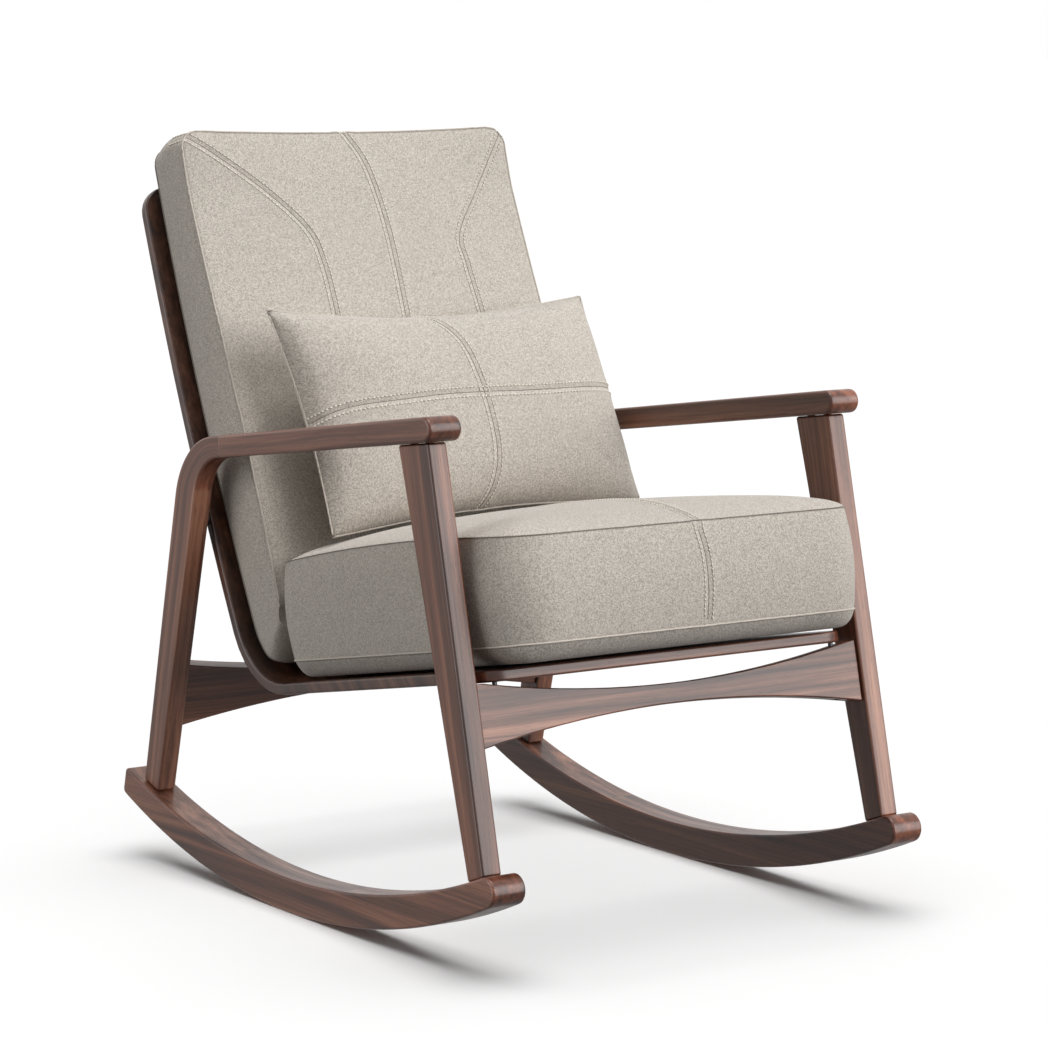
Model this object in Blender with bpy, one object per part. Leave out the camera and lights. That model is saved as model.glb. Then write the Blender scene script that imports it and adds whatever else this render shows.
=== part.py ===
"""Rocking chair: two walnut side frames on rockers, a bent plywood seat shell and three loose cushions.

Metres, +Z up. The chair faces -Y and X runs across it. The floor is z = 0.
Names ending in _left are at -X and names ending in _right are at +X.
"""

from math import acos, atan2, cos, pi, radians, sin, sqrt, tan

import bmesh
import bpy
from mathutils import Matrix, Vector

# ---- driving dimensions ------------------------------------------------------------------
FIT_GAP = 0.0003          # air between two pieces that touch
FRAME_X = 0.291           # middle of the chair to the middle of a side frame
LEG_WIDTH = 0.026
ARM_WIDTH = 0.045
ROCKER_WIDTH = 0.045
EDGE_ROUND = 0.0032       # rounded arrises of the legs and rockers
ARM_ROUND = 0.0042
STRETCHER_ROUND = 0.0022

# rockers: two arcs, one for the running edge and one for the top
ROCKER_BOTTOM = (0.0041, 1.125, 1.125)       # centre y, centre z, radius
ROCKER_TOP = (0.0075, 1.2364, 1.1938)
ROCKER_NOSE_Y = -0.448
ROCKER_TAIL_Y = 0.4120
ROCKER_REST = 0.030       # half length of the flat that the chair rests on
ROCKER_NOSE_LOW = 0.010   # from the nose's tip back to the lower start of its half round
ROCKER_NOSE_HIGH = 0.0225
ROCKER_TAIL_SLANT = 0.0085
ROCKER_TAIL_LOW_ROUND = 0.0075
ROCKER_TAIL_TOP_ROUND = 0.004

# front leg outline lines, as (y, z) points
FRONT_LEG_FRONT = ((-0.3034, 0.6012), (-0.4140, 0.1235))
FRONT_LEG_REAR = ((-0.2404, 0.5930), (-0.3820, 0.1118))

# rear leg, which bends forward into the arm
REAR_LEG_REAR = ((0.2907, 0.4724), (0.3795, 0.0992))
REAR_LEG_FRONT = ((0.2430, 0.4650), (0.3421, 0.0929))
BEND_OUTER_RADIUS = 0.107
BEND_INNER_RADIUS = 0.066

# arm outline lines
ARM_TOP = ((-0.2957, 0.6308), (0.1622, 0.5707))
ARM_UNDER = ((-0.3136, 0.6036), (0.1622, 0.5425))
ARM_NOSE_Y = -0.3219
ARM_NOSE_DEEP = 0.0170    # from the nose's tip back to the start of its half round
ARM_JOINT_Y = 0.1622

# seat shell: its under surface runs straight back from the front edge, bends up and then
# leans back in a very gentle curve
SHELL_FRONT = (-0.3655, 0.3315)
SHELL_SLOPE = radians(10.0)
SHELL_STRAIGHT = 0.456
SHELL_BEND_RADIUS = 0.117
SHELL_BEND = radians(72.5)
SHELL_BACK_RADIUS = 4.2
SHELL_LONG = 1.204        # along the under surface, from the front edge to the top edge
SHELL_THICK = 0.014
SHELL_WIDTH = 0.534
SHELL_CORNER = 0.036
SHELL_ROUND = 0.0028      # rounded edge of the plywood, all the way round

# stretchers: distances down the leg's front line, measured from its upper point
FRONT_STRETCHER = dict(end_top=0.2745, mid_top=0.3010, end_low=0.3511, mid_low=0.3254)
REAR_STRETCHER = dict(end_top=0.2132, mid_top=0.2375, end_low=0.2988, mid_low=0.2714)
STRETCHER_THICK = 0.022
STRETCHER_SETBACK = 0.005
STRETCHER_HALF = FRAME_X - LEG_WIDTH / 2 - FIT_GAP

# dowels, pins and bolts
DOWEL = 0.008
DOWEL_BIG = 0.010
HOLE_EXTRA = 0.0006       # a bore is this much wider, and this much longer at each end
FOOT_DOWEL = 0.036        # lengths
ARM_DOWEL = 0.032
JOINT_DOWEL = 0.044
RAIL_DOWEL = 0.034
FOOT_PITCH = 0.0156       # from one dowel of a pair to the other
ARM_PITCH = 0.032
JOINT_PITCH = 0.0124
RAIL_PITCH = 0.036
RAIL_SHIFT = 0.0005       # a rail's dowel is this much nearer the middle of the chair than the joint
SHELL_BOLT_X = 0.246
SHELL_BOLT_BACK = 0.0135  # from the shell's front edge to the bolt
BOLT_DOWN = 0.048         # from the shell's underside to the underside of the bolt head
BOLT_UP = 0.0095          # how far the bolt reaches into the shell
BOLT_SHANK = 0.006
BOLT_HEAD = 0.0105
HEAD_DEEP = 0.006
INSERT_LONG = 0.0095
INSERT_WIDE = 0.010
SHELL_PIN_YZ = (0.2708, 0.4529)
PIN_GRIP = 0.014          # how far a pin goes into the leg, and into the shell's edge
SPACER_WIDE = 0.016

# cushions: reach along the shell's path from its front edge, and height above the plywood
SEAT_REACH = (-0.058, 0.470)
SEAT_HALF = 0.266
SEAT_THICK = 0.146
SEAT_CORNER = 0.050
BACK_REACH = (0.560, 1.256)
BACK_HALF = 0.250
BACK_THICK = 0.098
BACK_CORNER = 0.028
CUSHION_CLEAR = 0.003     # air between a cushion and the plywood
CUSHION_ROUND = 0.020
BACK_FOOT_SHARE = 0.42    # thickness at the foot of the back cushion, as a share of the whole
BACK_FOOT_LONG = 0.16
PILLOW_CENTRE = (0.010, 0.1150, 0.5840)
PILLOW_HALF_X = 0.236
PILLOW_HALF_UP = 0.148
PILLOW_HALF_THICK = 0.056
PILLOW_LEAN = radians(22.8)
PILLOW_TURN = radians(2.7)


# ---- plane geometry in (y, z) ------------------------------------------------------------
def unit(v):
    length = sqrt(v[0] ** 2 + v[1] ** 2)
    return (v[0] / length, v[1] / length)


def along(line, y):
    """The z at this y on the line through two points."""
    (y0, z0), (y1, z1) = line
    return z0 + (z1 - z0) * (y - y0) / (y1 - y0)


def crossing(line_a, line_b):
    """Where two lines meet."""
    (y0, z0), (y1, z1) = line_a
    (y2, z2), (y3, z3) = line_b
    a, b = (y1 - y0, z1 - z0), (y3 - y2, z3 - z2)
    t = ((y2 - y0) * b[1] - (z2 - z0) * b[0]) / (a[0] * b[1] - a[1] * b[0])
    return (y0 + t * a[0], z0 + t * a[1])


def arc(centre, radius, start, end, steps):
    """Points round an arc, with angles from +y towards +z."""
    return [
        (centre[0] + radius * cos(start + (end - start) * i / steps),
         centre[1] + radius * sin(start + (end - start) * i / steps))
        for i in range(steps + 1)
    ]


def on_circle(circle, line):
    """The lower crossing of a line with a circle (centre y, centre z, radius)."""
    cy, cz, r = circle
    (y0, z0), (y1, z1) = line
    d = unit((y1 - y0, z1 - z0))
    if d[1] > 0:
        d = (-d[0], -d[1])
    fy, fz = y0 - cy, z0 - cz
    b = fy * d[0] + fz * d[1]
    t = -b + sqrt(b * b - (fy * fy + fz * fz - r * r))
    return (y0 + t * d[0], z0 + t * d[1])


def circle_z(circle, y):
    """Height of the lower half of a circle at this y."""
    cy, cz, r = circle
    return cz - sqrt(r * r - (y - cy) ** 2)


def circle_way(circle, y):
    """Direction towards -y along the lower half of a circle, at this y."""
    cy, cz, r = circle
    return unit((circle_z(circle, y) - cz, cy - y))


def fillet(corner, toward_a, toward_b, radius, steps):
    """Points of the arc that rounds a corner, from the side of toward_a to the side of toward_b."""
    a, b = unit(toward_a), unit(toward_b)
    between = acos(a[0] * b[0] + a[1] * b[1])
    middle = unit((a[0] + b[0], a[1] + b[1]))
    centre = (corner[0] + middle[0] * radius / sin(between / 2),
              corner[1] + middle[1] * radius / sin(between / 2))
    reach = radius / tan(between / 2)
    first = (corner[0] + a[0] * reach, corner[1] + a[1] * reach)
    last = (corner[0] + b[0] * reach, corner[1] + b[1] * reach)
    start = atan2(first[1] - centre[1], first[0] - centre[0])
    end = atan2(last[1] - centre[1], last[0] - centre[0])
    while end - start > pi:
        end -= 2 * pi
    while end - start < -pi:
        end += 2 * pi
    return arc(centre, radius, start, end, steps)


def bullnose(low, high, forward, steps):
    """Half-round end between a low and a high point, bulging forward."""
    centre = ((low[0] + high[0]) / 2, (low[1] + high[1]) / 2)
    radius = sqrt((high[0] - low[0]) ** 2 + (high[1] - low[1]) ** 2) / 2
    start = atan2(low[1] - centre[1], low[0] - centre[0])
    end = start - pi if forward else start + pi
    return arc(centre, radius, start, end, steps)


# ---- making objects ----------------------------------------------------------------------
def material(name, colour, roughness=0.45, metallic=0.0):
    made = bpy.data.materials.new(name)
    made.use_nodes = True
    shader = made.node_tree.nodes["Principled BSDF"]
    shader.inputs["Base Color"].default_value = (*colour, 1)
    shader.inputs["Roughness"].default_value = roughness
    shader.inputs["Metallic"].default_value = metallic
    made.diffuse_color = (*colour, 1)
    return made


def add_object(name, points, faces, skin):
    mesh = bpy.data.meshes.new(name)
    mesh.from_pydata(points, [], faces)
    body = bmesh.new()
    body.from_mesh(mesh)
    bmesh.ops.recalc_face_normals(body, faces=body.faces)
    body.to_mesh(mesh)
    body.free()
    obj = bpy.data.objects.new(name, mesh)
    bpy.context.scene.collection.objects.link(obj)
    if skin is None:
        obj.hide_render = True
        obj.display_type = "WIRE"
    else:
        mesh.materials.append(skin.copy())
        mesh.materials[0].name = name + "_finish"
    return obj


def prism(name, outline, x_middle, width, skin):
    """A flat (y, z) outline given a width in X, with its origin in the middle of the outline."""
    n = len(outline)
    y0 = (min(y for y, z in outline) + max(y for y, z in outline)) / 2
    z0 = (min(z for y, z in outline) + max(z for y, z in outline)) / 2
    points = [(-width / 2, y - y0, z - z0) for y, z in outline]
    points += [(width / 2, y - y0, z - z0) for y, z in outline]
    faces = [tuple(range(n)), tuple(range(n, 2 * n))]
    faces += [(i, (i + 1) % n, n + (i + 1) % n, n + i) for i in range(n)]
    obj = add_object(name, points, faces, skin)
    obj.location = (x_middle, y0, z0)
    return obj


def round_edges(obj, width, segments, angle=40):
    bevel = obj.modifiers.new("rounded_edges", "BEVEL")
    bevel.width = width
    bevel.segments = segments
    bevel.limit_method = "ANGLE"
    bevel.angle_limit = radians(angle)
    bevel.use_clamp_overlap = True


def turned(name, rings, middle, axis, skin, sides=20, hollow=False):
    """A turned piece: rings of (radius, height) along its axis, placed by location and rotation."""
    points = [(r * cos(2 * pi * i / sides), r * sin(2 * pi * i / sides), h)
              for r, h in rings for i in range(sides)]
    count = len(rings)
    faces = []
    for k in range(count if hollow else count - 1):
        a, b = k * sides, ((k + 1) % count) * sides
        for i in range(sides):
            j = (i + 1) % sides
            faces.append((a + i, a + j, b + j, b + i))
    if not hollow:
        faces.append(tuple(range(sides)))
        faces.append(tuple(range((count - 1) * sides, count * sides)))
    obj = add_object(name, points, faces, skin)
    obj.location = middle
    obj.rotation_mode = "QUATERNION"
    obj.rotation_quaternion = Vector(axis).to_track_quat("Z", "Y")
    if skin is not None:
        obj.data.shade_smooth()
        obj.data.set_sharp_from_angle(angle=radians(35))
    return obj


def rod(name, middle, axis, length, diameter, skin, chamfer=0.0008):
    r, h = diameter / 2, length / 2
    rings = [(r - chamfer, -h), (r, chamfer - h), (r, h - chamfer), (r - chamfer, h)]
    return turned(name, rings, middle, axis, skin)


def sleeve(name, middle, axis, length, diameter, bore, skin):
    r, b, h = diameter / 2, bore / 2, length / 2
    rings = [(r, -h), (r, h), (b, h), (b, -h)]
    return turned(name, rings, middle, axis, skin, 24, hollow=True)


BORES = {}


def bore(target, middle, axis, length, diameter):
    """Remembers a round hole for a piece; cut_bores makes them all."""
    BORES.setdefault(target, []).append((middle, axis, length, diameter))


def cut_bores():
    for target, holes in BORES.items():
        for number, (middle, axis, length, diameter) in enumerate(holes):
            rings = [(diameter / 2, -length / 2), (diameter / 2, length / 2)]
            cutter = turned("%s_bore_%d" % (target, number), rings, middle, axis, None, 24)
            cut = bpy.data.objects[target].modifiers.new("bore_%d" % number, "BOOLEAN")
            cut.operation = "DIFFERENCE"
            cut.solver = "EXACT"
            cut.object = cutter


def doweled(name, middle, axis, length, diameter, first, second, skin):
    """One dowel and the bore it needs in each of the two pieces that it joins."""
    rod(name, middle, axis, length, diameter, skin)
    for piece in (first, second):
        bore(piece, middle, axis, length + 2 * HOLE_EXTRA, diameter + HOLE_EXTRA)


SIDES = (("left", -1), ("right", 1))


# ---- start from nothing ------------------------------------------------------------------
for old in list(bpy.data.objects):
    bpy.data.objects.remove(old, do_unlink=True)

WALNUT = material("walnut", (0.115, 0.055, 0.035), 0.35)
BEECH = material("beech", (0.62, 0.43, 0.26), 0.6)
STEEL = material("blackened_steel", (0.08, 0.08, 0.085), 0.4, 1.0)
BRASS = material("brass", (0.72, 0.52, 0.22), 0.35, 1.0)
NYLON = material("nylon", (0.03, 0.03, 0.03), 0.5)
FABRIC = material("fabric", (0.50, 0.45, 0.38), 0.9)


# ---- rockers -----------------------------------------------------------------------------
def rocker_outline():
    cy, cz, r = ROCKER_BOTTOM
    nose_low_y = ROCKER_NOSE_Y + ROCKER_NOSE_LOW
    nose_high_y = ROCKER_NOSE_Y + ROCKER_NOSE_HIGH
    tail_low_y = ROCKER_TAIL_Y + ROCKER_TAIL_SLANT
    steps = 22
    under_rear = [cy + ROCKER_REST + (tail_low_y - cy - ROCKER_REST) * i / steps
                  for i in range(steps, 0, -1)]
    under_front = [cy - ROCKER_REST - (cy - ROCKER_REST - nose_low_y) * i / steps
                   for i in range(1, steps + 1)]
    tail = (under_rear[0], circle_z(ROCKER_BOTTOM, under_rear[0]))
    tail_top = (ROCKER_TAIL_Y, circle_z(ROCKER_TOP, ROCKER_TAIL_Y))
    outline = fillet(tail, (tail_top[0] - tail[0], tail_top[1] - tail[1]),
                     circle_way(ROCKER_BOTTOM, tail[0]), ROCKER_TAIL_LOW_ROUND, 4)
    outline += [(y, circle_z(ROCKER_BOTTOM, y)) for y in under_rear[1:]]
    outline += [(cy + ROCKER_REST, 0.0), (cy - ROCKER_REST, 0.0)]
    outline += [(y, circle_z(ROCKER_BOTTOM, y)) for y in under_front[:-1]]
    low = (nose_low_y, circle_z(ROCKER_BOTTOM, nose_low_y))
    high = (nose_high_y, circle_z(ROCKER_TOP, nose_high_y))
    outline += bullnose(low, high, True, 12)
    top_steps = 40
    top_long = ROCKER_TAIL_Y - ROCKER_TAIL_TOP_ROUND - nose_high_y
    for i in range(1, top_steps):
        y = nose_high_y + top_long * i / top_steps
        outline.append((y, circle_z(ROCKER_TOP, y)))
    outline += fillet(tail_top, circle_way(ROCKER_TOP, tail_top[0]),
                      (tail[0] - tail_top[0], tail[1] - tail_top[1]), ROCKER_TAIL_TOP_ROUND, 3)
    return outline


for side, sign in SIDES:
    piece = prism("rocker_" + side, rocker_outline(), sign * FRAME_X, ROCKER_WIDTH, WALNUT)
    round_edges(piece, EDGE_ROUND, 3)


# ---- front legs --------------------------------------------------------------------------
def foot(front_line, rear_line, steps=5):
    """Foot of a leg, from rear to front, shaped to sit on the top of the rocker."""
    seat = (ROCKER_TOP[0], ROCKER_TOP[1], ROCKER_TOP[2] - FIT_GAP)
    rear = on_circle(seat, rear_line)
    front = on_circle(seat, front_line)
    return [(rear[0] + (front[0] - rear[0]) * i / steps,
             circle_z(seat, rear[0] + (front[0] - rear[0]) * i / steps))
            for i in range(steps + 1)]


def lowered(line, by):
    """The line moved down by a distance at right angles to itself."""
    (y0, z0), (y1, z1) = line
    d = unit((y1 - y0, z1 - z0))
    n = (-d[1], d[0]) if d[0] < 0 else (d[1], -d[0])
    return ((y0 + n[0] * by, z0 + n[1] * by), (y1 + n[0] * by, z1 + n[1] * by))


UNDER_ARM = lowered(ARM_UNDER, FIT_GAP)
front_leg = foot(FRONT_LEG_FRONT, FRONT_LEG_REAR)
front_leg += [crossing(FRONT_LEG_FRONT, UNDER_ARM), crossing(FRONT_LEG_REAR, UNDER_ARM)]
for side, sign in SIDES:
    piece = prism("front_leg_" + side, front_leg, sign * FRAME_X, LEG_WIDTH, WALNUT)
    round_edges(piece, EDGE_ROUND, 3)

# ---- arms --------------------------------------------------------------------------------
arm_way = unit((ARM_TOP[1][0] - ARM_TOP[0][0], ARM_TOP[1][1] - ARM_TOP[0][1]))
arm_up = (-arm_way[1], arm_way[0])
joint_top = (ARM_JOINT_Y, along(ARM_TOP, ARM_JOINT_Y))
joint_line = (joint_top, (joint_top[0] - arm_up[0], joint_top[1] - arm_up[1]))
joint_under = crossing(joint_line, ARM_UNDER)
nose_high = (ARM_NOSE_Y + ARM_NOSE_DEEP, along(ARM_TOP, ARM_NOSE_Y + ARM_NOSE_DEEP))
nose_low = crossing((nose_high, (nose_high[0] - arm_up[0], nose_high[1] - arm_up[1])), ARM_UNDER)
arm = [joint_top, joint_under] + bullnose(nose_low, nose_high, True, 14)
for side, sign in SIDES:
    piece = prism("armrest_" + side, arm, sign * FRAME_X, ARM_WIDTH, WALNUT)
    round_edges(piece, ARM_ROUND, 3)

# ---- rear legs, bent forward at the top to meet the arms ----------------------------------
shift = (arm_way[0] * FIT_GAP, arm_way[1] * FIT_GAP)
top_start = (joint_top[0] + shift[0], joint_top[1] + shift[1])
under_start = (joint_under[0] + shift[0], joint_under[1] + shift[1])
outer_corner = crossing(REAR_LEG_REAR, ARM_TOP)
inner_corner = crossing(REAR_LEG_FRONT, ARM_UNDER)
down_rear = (REAR_LEG_REAR[1][0] - REAR_LEG_REAR[0][0], REAR_LEG_REAR[1][1] - REAR_LEG_REAR[0][1])
down_front = (REAR_LEG_FRONT[1][0] - REAR_LEG_FRONT[0][0],
              REAR_LEG_FRONT[1][1] - REAR_LEG_FRONT[0][1])
forward = (-arm_way[0], -arm_way[1])
rear_leg = [under_start, top_start]
rear_leg += fillet(outer_corner, forward, down_rear, BEND_OUTER_RADIUS, 14)
rear_leg += foot(REAR_LEG_FRONT, REAR_LEG_REAR)
rear_leg += fillet(inner_corner, down_front, forward, BEND_INNER_RADIUS, 12)
for side, sign in SIDES:
    piece = prism("rear_leg_" + side, rear_leg, sign * FRAME_X, LEG_WIDTH, WALNUT)
    round_edges(piece, EDGE_ROUND, 3)


# ---- seat shell and what is shaped to it ---------------------------------------------------
def on_path(s):
    """Point and sitter-side normal on the shell's under surface, at a distance from its front edge."""
    start = -SHELL_SLOPE
    if s < SHELL_STRAIGHT:
        way = start
        point = Vector((SHELL_FRONT[0] + s * cos(way), SHELL_FRONT[1] + s * sin(way)))
        return point, Vector((-sin(way), cos(way)))
    y = SHELL_FRONT[0] + SHELL_STRAIGHT * cos(start)
    z = SHELL_FRONT[1] + SHELL_STRAIGHT * sin(start)
    bent = min((s - SHELL_STRAIGHT) / SHELL_BEND_RADIUS, SHELL_BEND)
    way = start + bent
    y += SHELL_BEND_RADIUS * (sin(way) - sin(start))
    z -= SHELL_BEND_RADIUS * (cos(way) - cos(start))
    rest = s - SHELL_STRAIGHT - bent * SHELL_BEND_RADIUS
    if rest > 0:
        last = way + rest / SHELL_BACK_RADIUS
        y += SHELL_BACK_RADIUS * (sin(last) - sin(way))
        z -= SHELL_BACK_RADIUS * (cos(last) - cos(way))
        way = last
    return Vector((y, z)), Vector((-sin(way), cos(way)))


def chain(reach, half, corner, inset, count):
    """(distance, half width) pairs down the side of a round-cornered sheet, at this inset."""
    radius = corner - inset
    turn = [pi / 2 * i / 7 for i in range(8)]
    first, last = reach
    start = [(first + inset + radius * (1 - cos(t)), half - inset - radius * (1 - sin(t)))
             for t in turn]
    inner = last - first - 2 * corner
    middle = [(first + corner + inner * i / count, half - inset) for i in range(1, count)]
    return start + middle + [(first + last - s, h) for s, h in reversed(start)]


def shaped_to_shell(name, reach, half, corner, rings, count, skin, squeeze=None):
    """A sheet or a cushion that follows the shell. Rings are (inset, height above the under
    surface), from the lowest to the highest. Squeeze gives the share of the height at s."""
    points, faces, starts = [], [], []
    for inset, height in rings:
        pairs = chain(reach, half, corner, inset, count)
        starts.append(len(points))
        for s, wide in pairs:
            low, normal = on_path(s)
            base = rings[0][1]
            share = squeeze(s) if squeeze else 1.0
            y, z = low + normal * (base + (height - base) * share)
            points += [(-wide, y, z), (wide, y, z)]
    last = len(pairs) - 1
    for a, b in zip(starts, starts[1:]):
        for i in range(last):
            for c in (0, 1):
                faces.append((a + 2 * i + c, a + 2 * i + 2 + c, b + 2 * i + 2 + c, b + 2 * i + c))
        for i in (0, last):
            faces.append((a + 2 * i, a + 2 * i + 1, b + 2 * i + 1, b + 2 * i))
    for a in (starts[0], starts[-1]):
        for i in range(last):
            faces.append((a + 2 * i, a + 2 * i + 1, a + 2 * i + 3, a + 2 * i + 2))
    centre = sum((Vector(p) for p in points), Vector()) / len(points)
    obj = add_object(name, [tuple(Vector(p) - centre) for p in points], faces, skin)
    obj.location = centre
    return obj


def soft_rings(low, thick, edge):
    """Rings of a slab with edges rounded to a radius."""
    quarter = [pi / 2 * i / 3 for i in range(4)]
    under = [(edge * (1 - sin(t)), low + edge * (1 - cos(t))) for t in quarter]
    return under + [(inset, 2 * low + thick - height) for inset, height in reversed(under)]


shaped_to_shell("seat_shell", (0.0, SHELL_LONG), SHELL_WIDTH / 2, SHELL_CORNER,
                soft_rings(0.0, SHELL_THICK, SHELL_ROUND), 54, WALNUT)


# ---- stretchers --------------------------------------------------------------------------
def stretcher(name, line, sizes):
    """A bow-tie board between the legs of one pair, lying parallel to their front faces."""
    down = unit((line[1][0] - line[0][0], line[1][1] - line[0][1]))
    back = (-down[1], down[0])
    if back[0] < 0:
        back = (-back[0], -back[1])
    steps = 24
    rows = []
    for i in range(steps + 1):
        x = STRETCHER_HALF * (2 * i / steps - 1)
        share = (x / STRETCHER_HALF) ** 2
        top = sizes["mid_top"] + (sizes["end_top"] - sizes["mid_top"]) * share
        low = sizes["mid_low"] + (sizes["end_low"] - sizes["mid_low"]) * share
        rows.append((x, top, low))

    def place(x, s, depth):
        return (x, line[0][0] + down[0] * s + back[0] * depth,
                line[0][1] + down[1] * s + back[1] * depth)

    near, far = STRETCHER_SETBACK, STRETCHER_SETBACK + STRETCHER_THICK
    points = []
    for x, top, low in rows:
        points += [place(x, top, near), place(x, low, near), place(x, low, far), place(x, top, far)]
    faces = [(0, 1, 2, 3)]
    for i in range(steps):
        a, b = 4 * i, 4 * i + 4
        for k in range(4):
            j = (k + 1) % 4
            faces.append((a + k, a + j, b + j, b + k))
    last = 4 * steps
    faces.append((last, last + 1, last + 2, last + 3))
    piece = add_object(name, points, faces, WALNUT)
    round_edges(piece, STRETCHER_ROUND, 2, 50)
    return place


front_place = stretcher("front_stretcher", FRONT_LEG_FRONT, FRONT_STRETCHER)
rear_place = stretcher("rear_stretcher", REAR_LEG_FRONT, REAR_STRETCHER)

# the ends of the front stretcher are planed to the slope of the shell that lies on them
shell_front, shell_up = on_path(0.0)
shell_way = Vector((shell_up[1], -shell_up[0]))
PLANE_REACH = 0.080
PLANE_DEEP = 0.060
PLANE_WIDE = 0.60
near_edge = shell_front - shell_way * PLANE_REACH - shell_up * FIT_GAP
far_edge = shell_front + shell_way * PLANE_REACH - shell_up * FIT_GAP
planed = [tuple(near_edge), tuple(far_edge),
          tuple(far_edge + shell_up * PLANE_DEEP), tuple(near_edge + shell_up * PLANE_DEEP)]
planer = prism("shell_seat_plane", planed, 0.0, PLANE_WIDE, None)
plane_cut = bpy.data.objects["front_stretcher"].modifiers.new("planed_to_shell", "BOOLEAN")
plane_cut.operation = "DIFFERENCE"
plane_cut.solver = "EXACT"
plane_cut.object = planer


# ---- dowels ------------------------------------------------------------------------------
def pair_of(pitch):
    """The letter and the offset of each dowel of a pair."""
    return (("a", -pitch / 2), ("b", pitch / 2))


def leg_axis(front_line, rear_line):
    """Direction down the middle of a leg."""
    down_a = unit((front_line[1][0] - front_line[0][0], front_line[1][1] - front_line[0][1]))
    down_b = unit((rear_line[1][0] - rear_line[0][0], rear_line[1][1] - rear_line[0][1]))
    return unit((down_a[0] + down_b[0], down_a[1] + down_b[1]))


for side, sign in SIDES:
    x = sign * FRAME_X
    for pair, lines in (("front", (FRONT_LEG_FRONT, FRONT_LEG_REAR)),
                        ("rear", (REAR_LEG_FRONT, REAR_LEG_REAR))):
        sole = foot(*lines)
        axis = leg_axis(*lines)
        across = unit((sole[-1][0] - sole[0][0], sole[-1][1] - sole[0][1]))
        middle = ((sole[0][0] + sole[-1][0]) / 2, (sole[0][1] + sole[-1][1]) / 2)
        for k, offset in pair_of(FOOT_PITCH):
            spot = (x, middle[0] + across[0] * offset, middle[1] + across[1] * offset)
            doweled("dowel_%s_foot_%s_%s" % (pair, side, k), spot, (0, *axis), FOOT_DOWEL, DOWEL,
                    "%s_leg_%s" % (pair, side), "rocker_" + side, BEECH)
    leg_head = (crossing(FRONT_LEG_FRONT, UNDER_ARM), crossing(FRONT_LEG_REAR, UNDER_ARM))
    middle = ((leg_head[0][0] + leg_head[1][0]) / 2, (leg_head[0][1] + leg_head[1][1]) / 2)
    for k, offset in pair_of(ARM_PITCH):
        spot = (x, middle[0] + arm_way[0] * offset, middle[1] + arm_way[1] * offset)
        doweled("dowel_arm_front_%s_%s" % (side, k), spot, (0, *arm_up), ARM_DOWEL, DOWEL_BIG,
                "armrest_" + side, "front_leg_" + side, BEECH)
    middle = ((joint_top[0] + joint_under[0]) / 2, (joint_top[1] + joint_under[1]) / 2)
    for k, offset in pair_of(JOINT_PITCH):
        spot = (x, middle[0] + arm_up[0] * offset, middle[1] + arm_up[1] * offset)
        doweled("dowel_arm_rear_%s_%s" % (side, k), spot, (0, *arm_way), JOINT_DOWEL, DOWEL,
                "armrest_" + side, "rear_leg_" + side, BEECH)
    depth = STRETCHER_SETBACK + STRETCHER_THICK / 2
    for pair, place, sizes in (("front", front_place, FRONT_STRETCHER),
                               ("rear", rear_place, REAR_STRETCHER)):
        centre = (sizes["end_top"] + sizes["end_low"]) / 2
        for k, offset in pair_of(RAIL_PITCH):
            spot = place(sign * (FRAME_X - LEG_WIDTH / 2 - RAIL_SHIFT), centre + offset, depth)
            doweled("dowel_%s_rail_%s_%s" % (pair, side, k), spot, (1, 0, 0), RAIL_DOWEL,
                    DOWEL_BIG, "%s_leg_%s" % (pair, side), pair + "_stretcher", BEECH)

# ---- shell fixings: bolts up through the front stretcher, pins in the rear legs -----------
INSERT_HOLE_LOW = 0.004    # the insert's hole is cut from this far below the shell
INSERT_HOLE_TOP = FIT_GAP + INSERT_LONG + HOLE_EXTRA / 2
SHANK_HOLE_MIDDLE = -0.020
SHANK_HOLE_LONG = 0.100
HEAD_HOLE_LONG = 0.060
HEAD_HOLE_EXTRA = 0.0015


def on_bolt(sign, h):
    """A point on a bolt's axis, at a height above the shell's underside."""
    foot_y, foot_z = shell_front + shell_way * SHELL_BOLT_BACK + shell_up * h
    return (sign * SHELL_BOLT_X, foot_y, foot_z)


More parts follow.
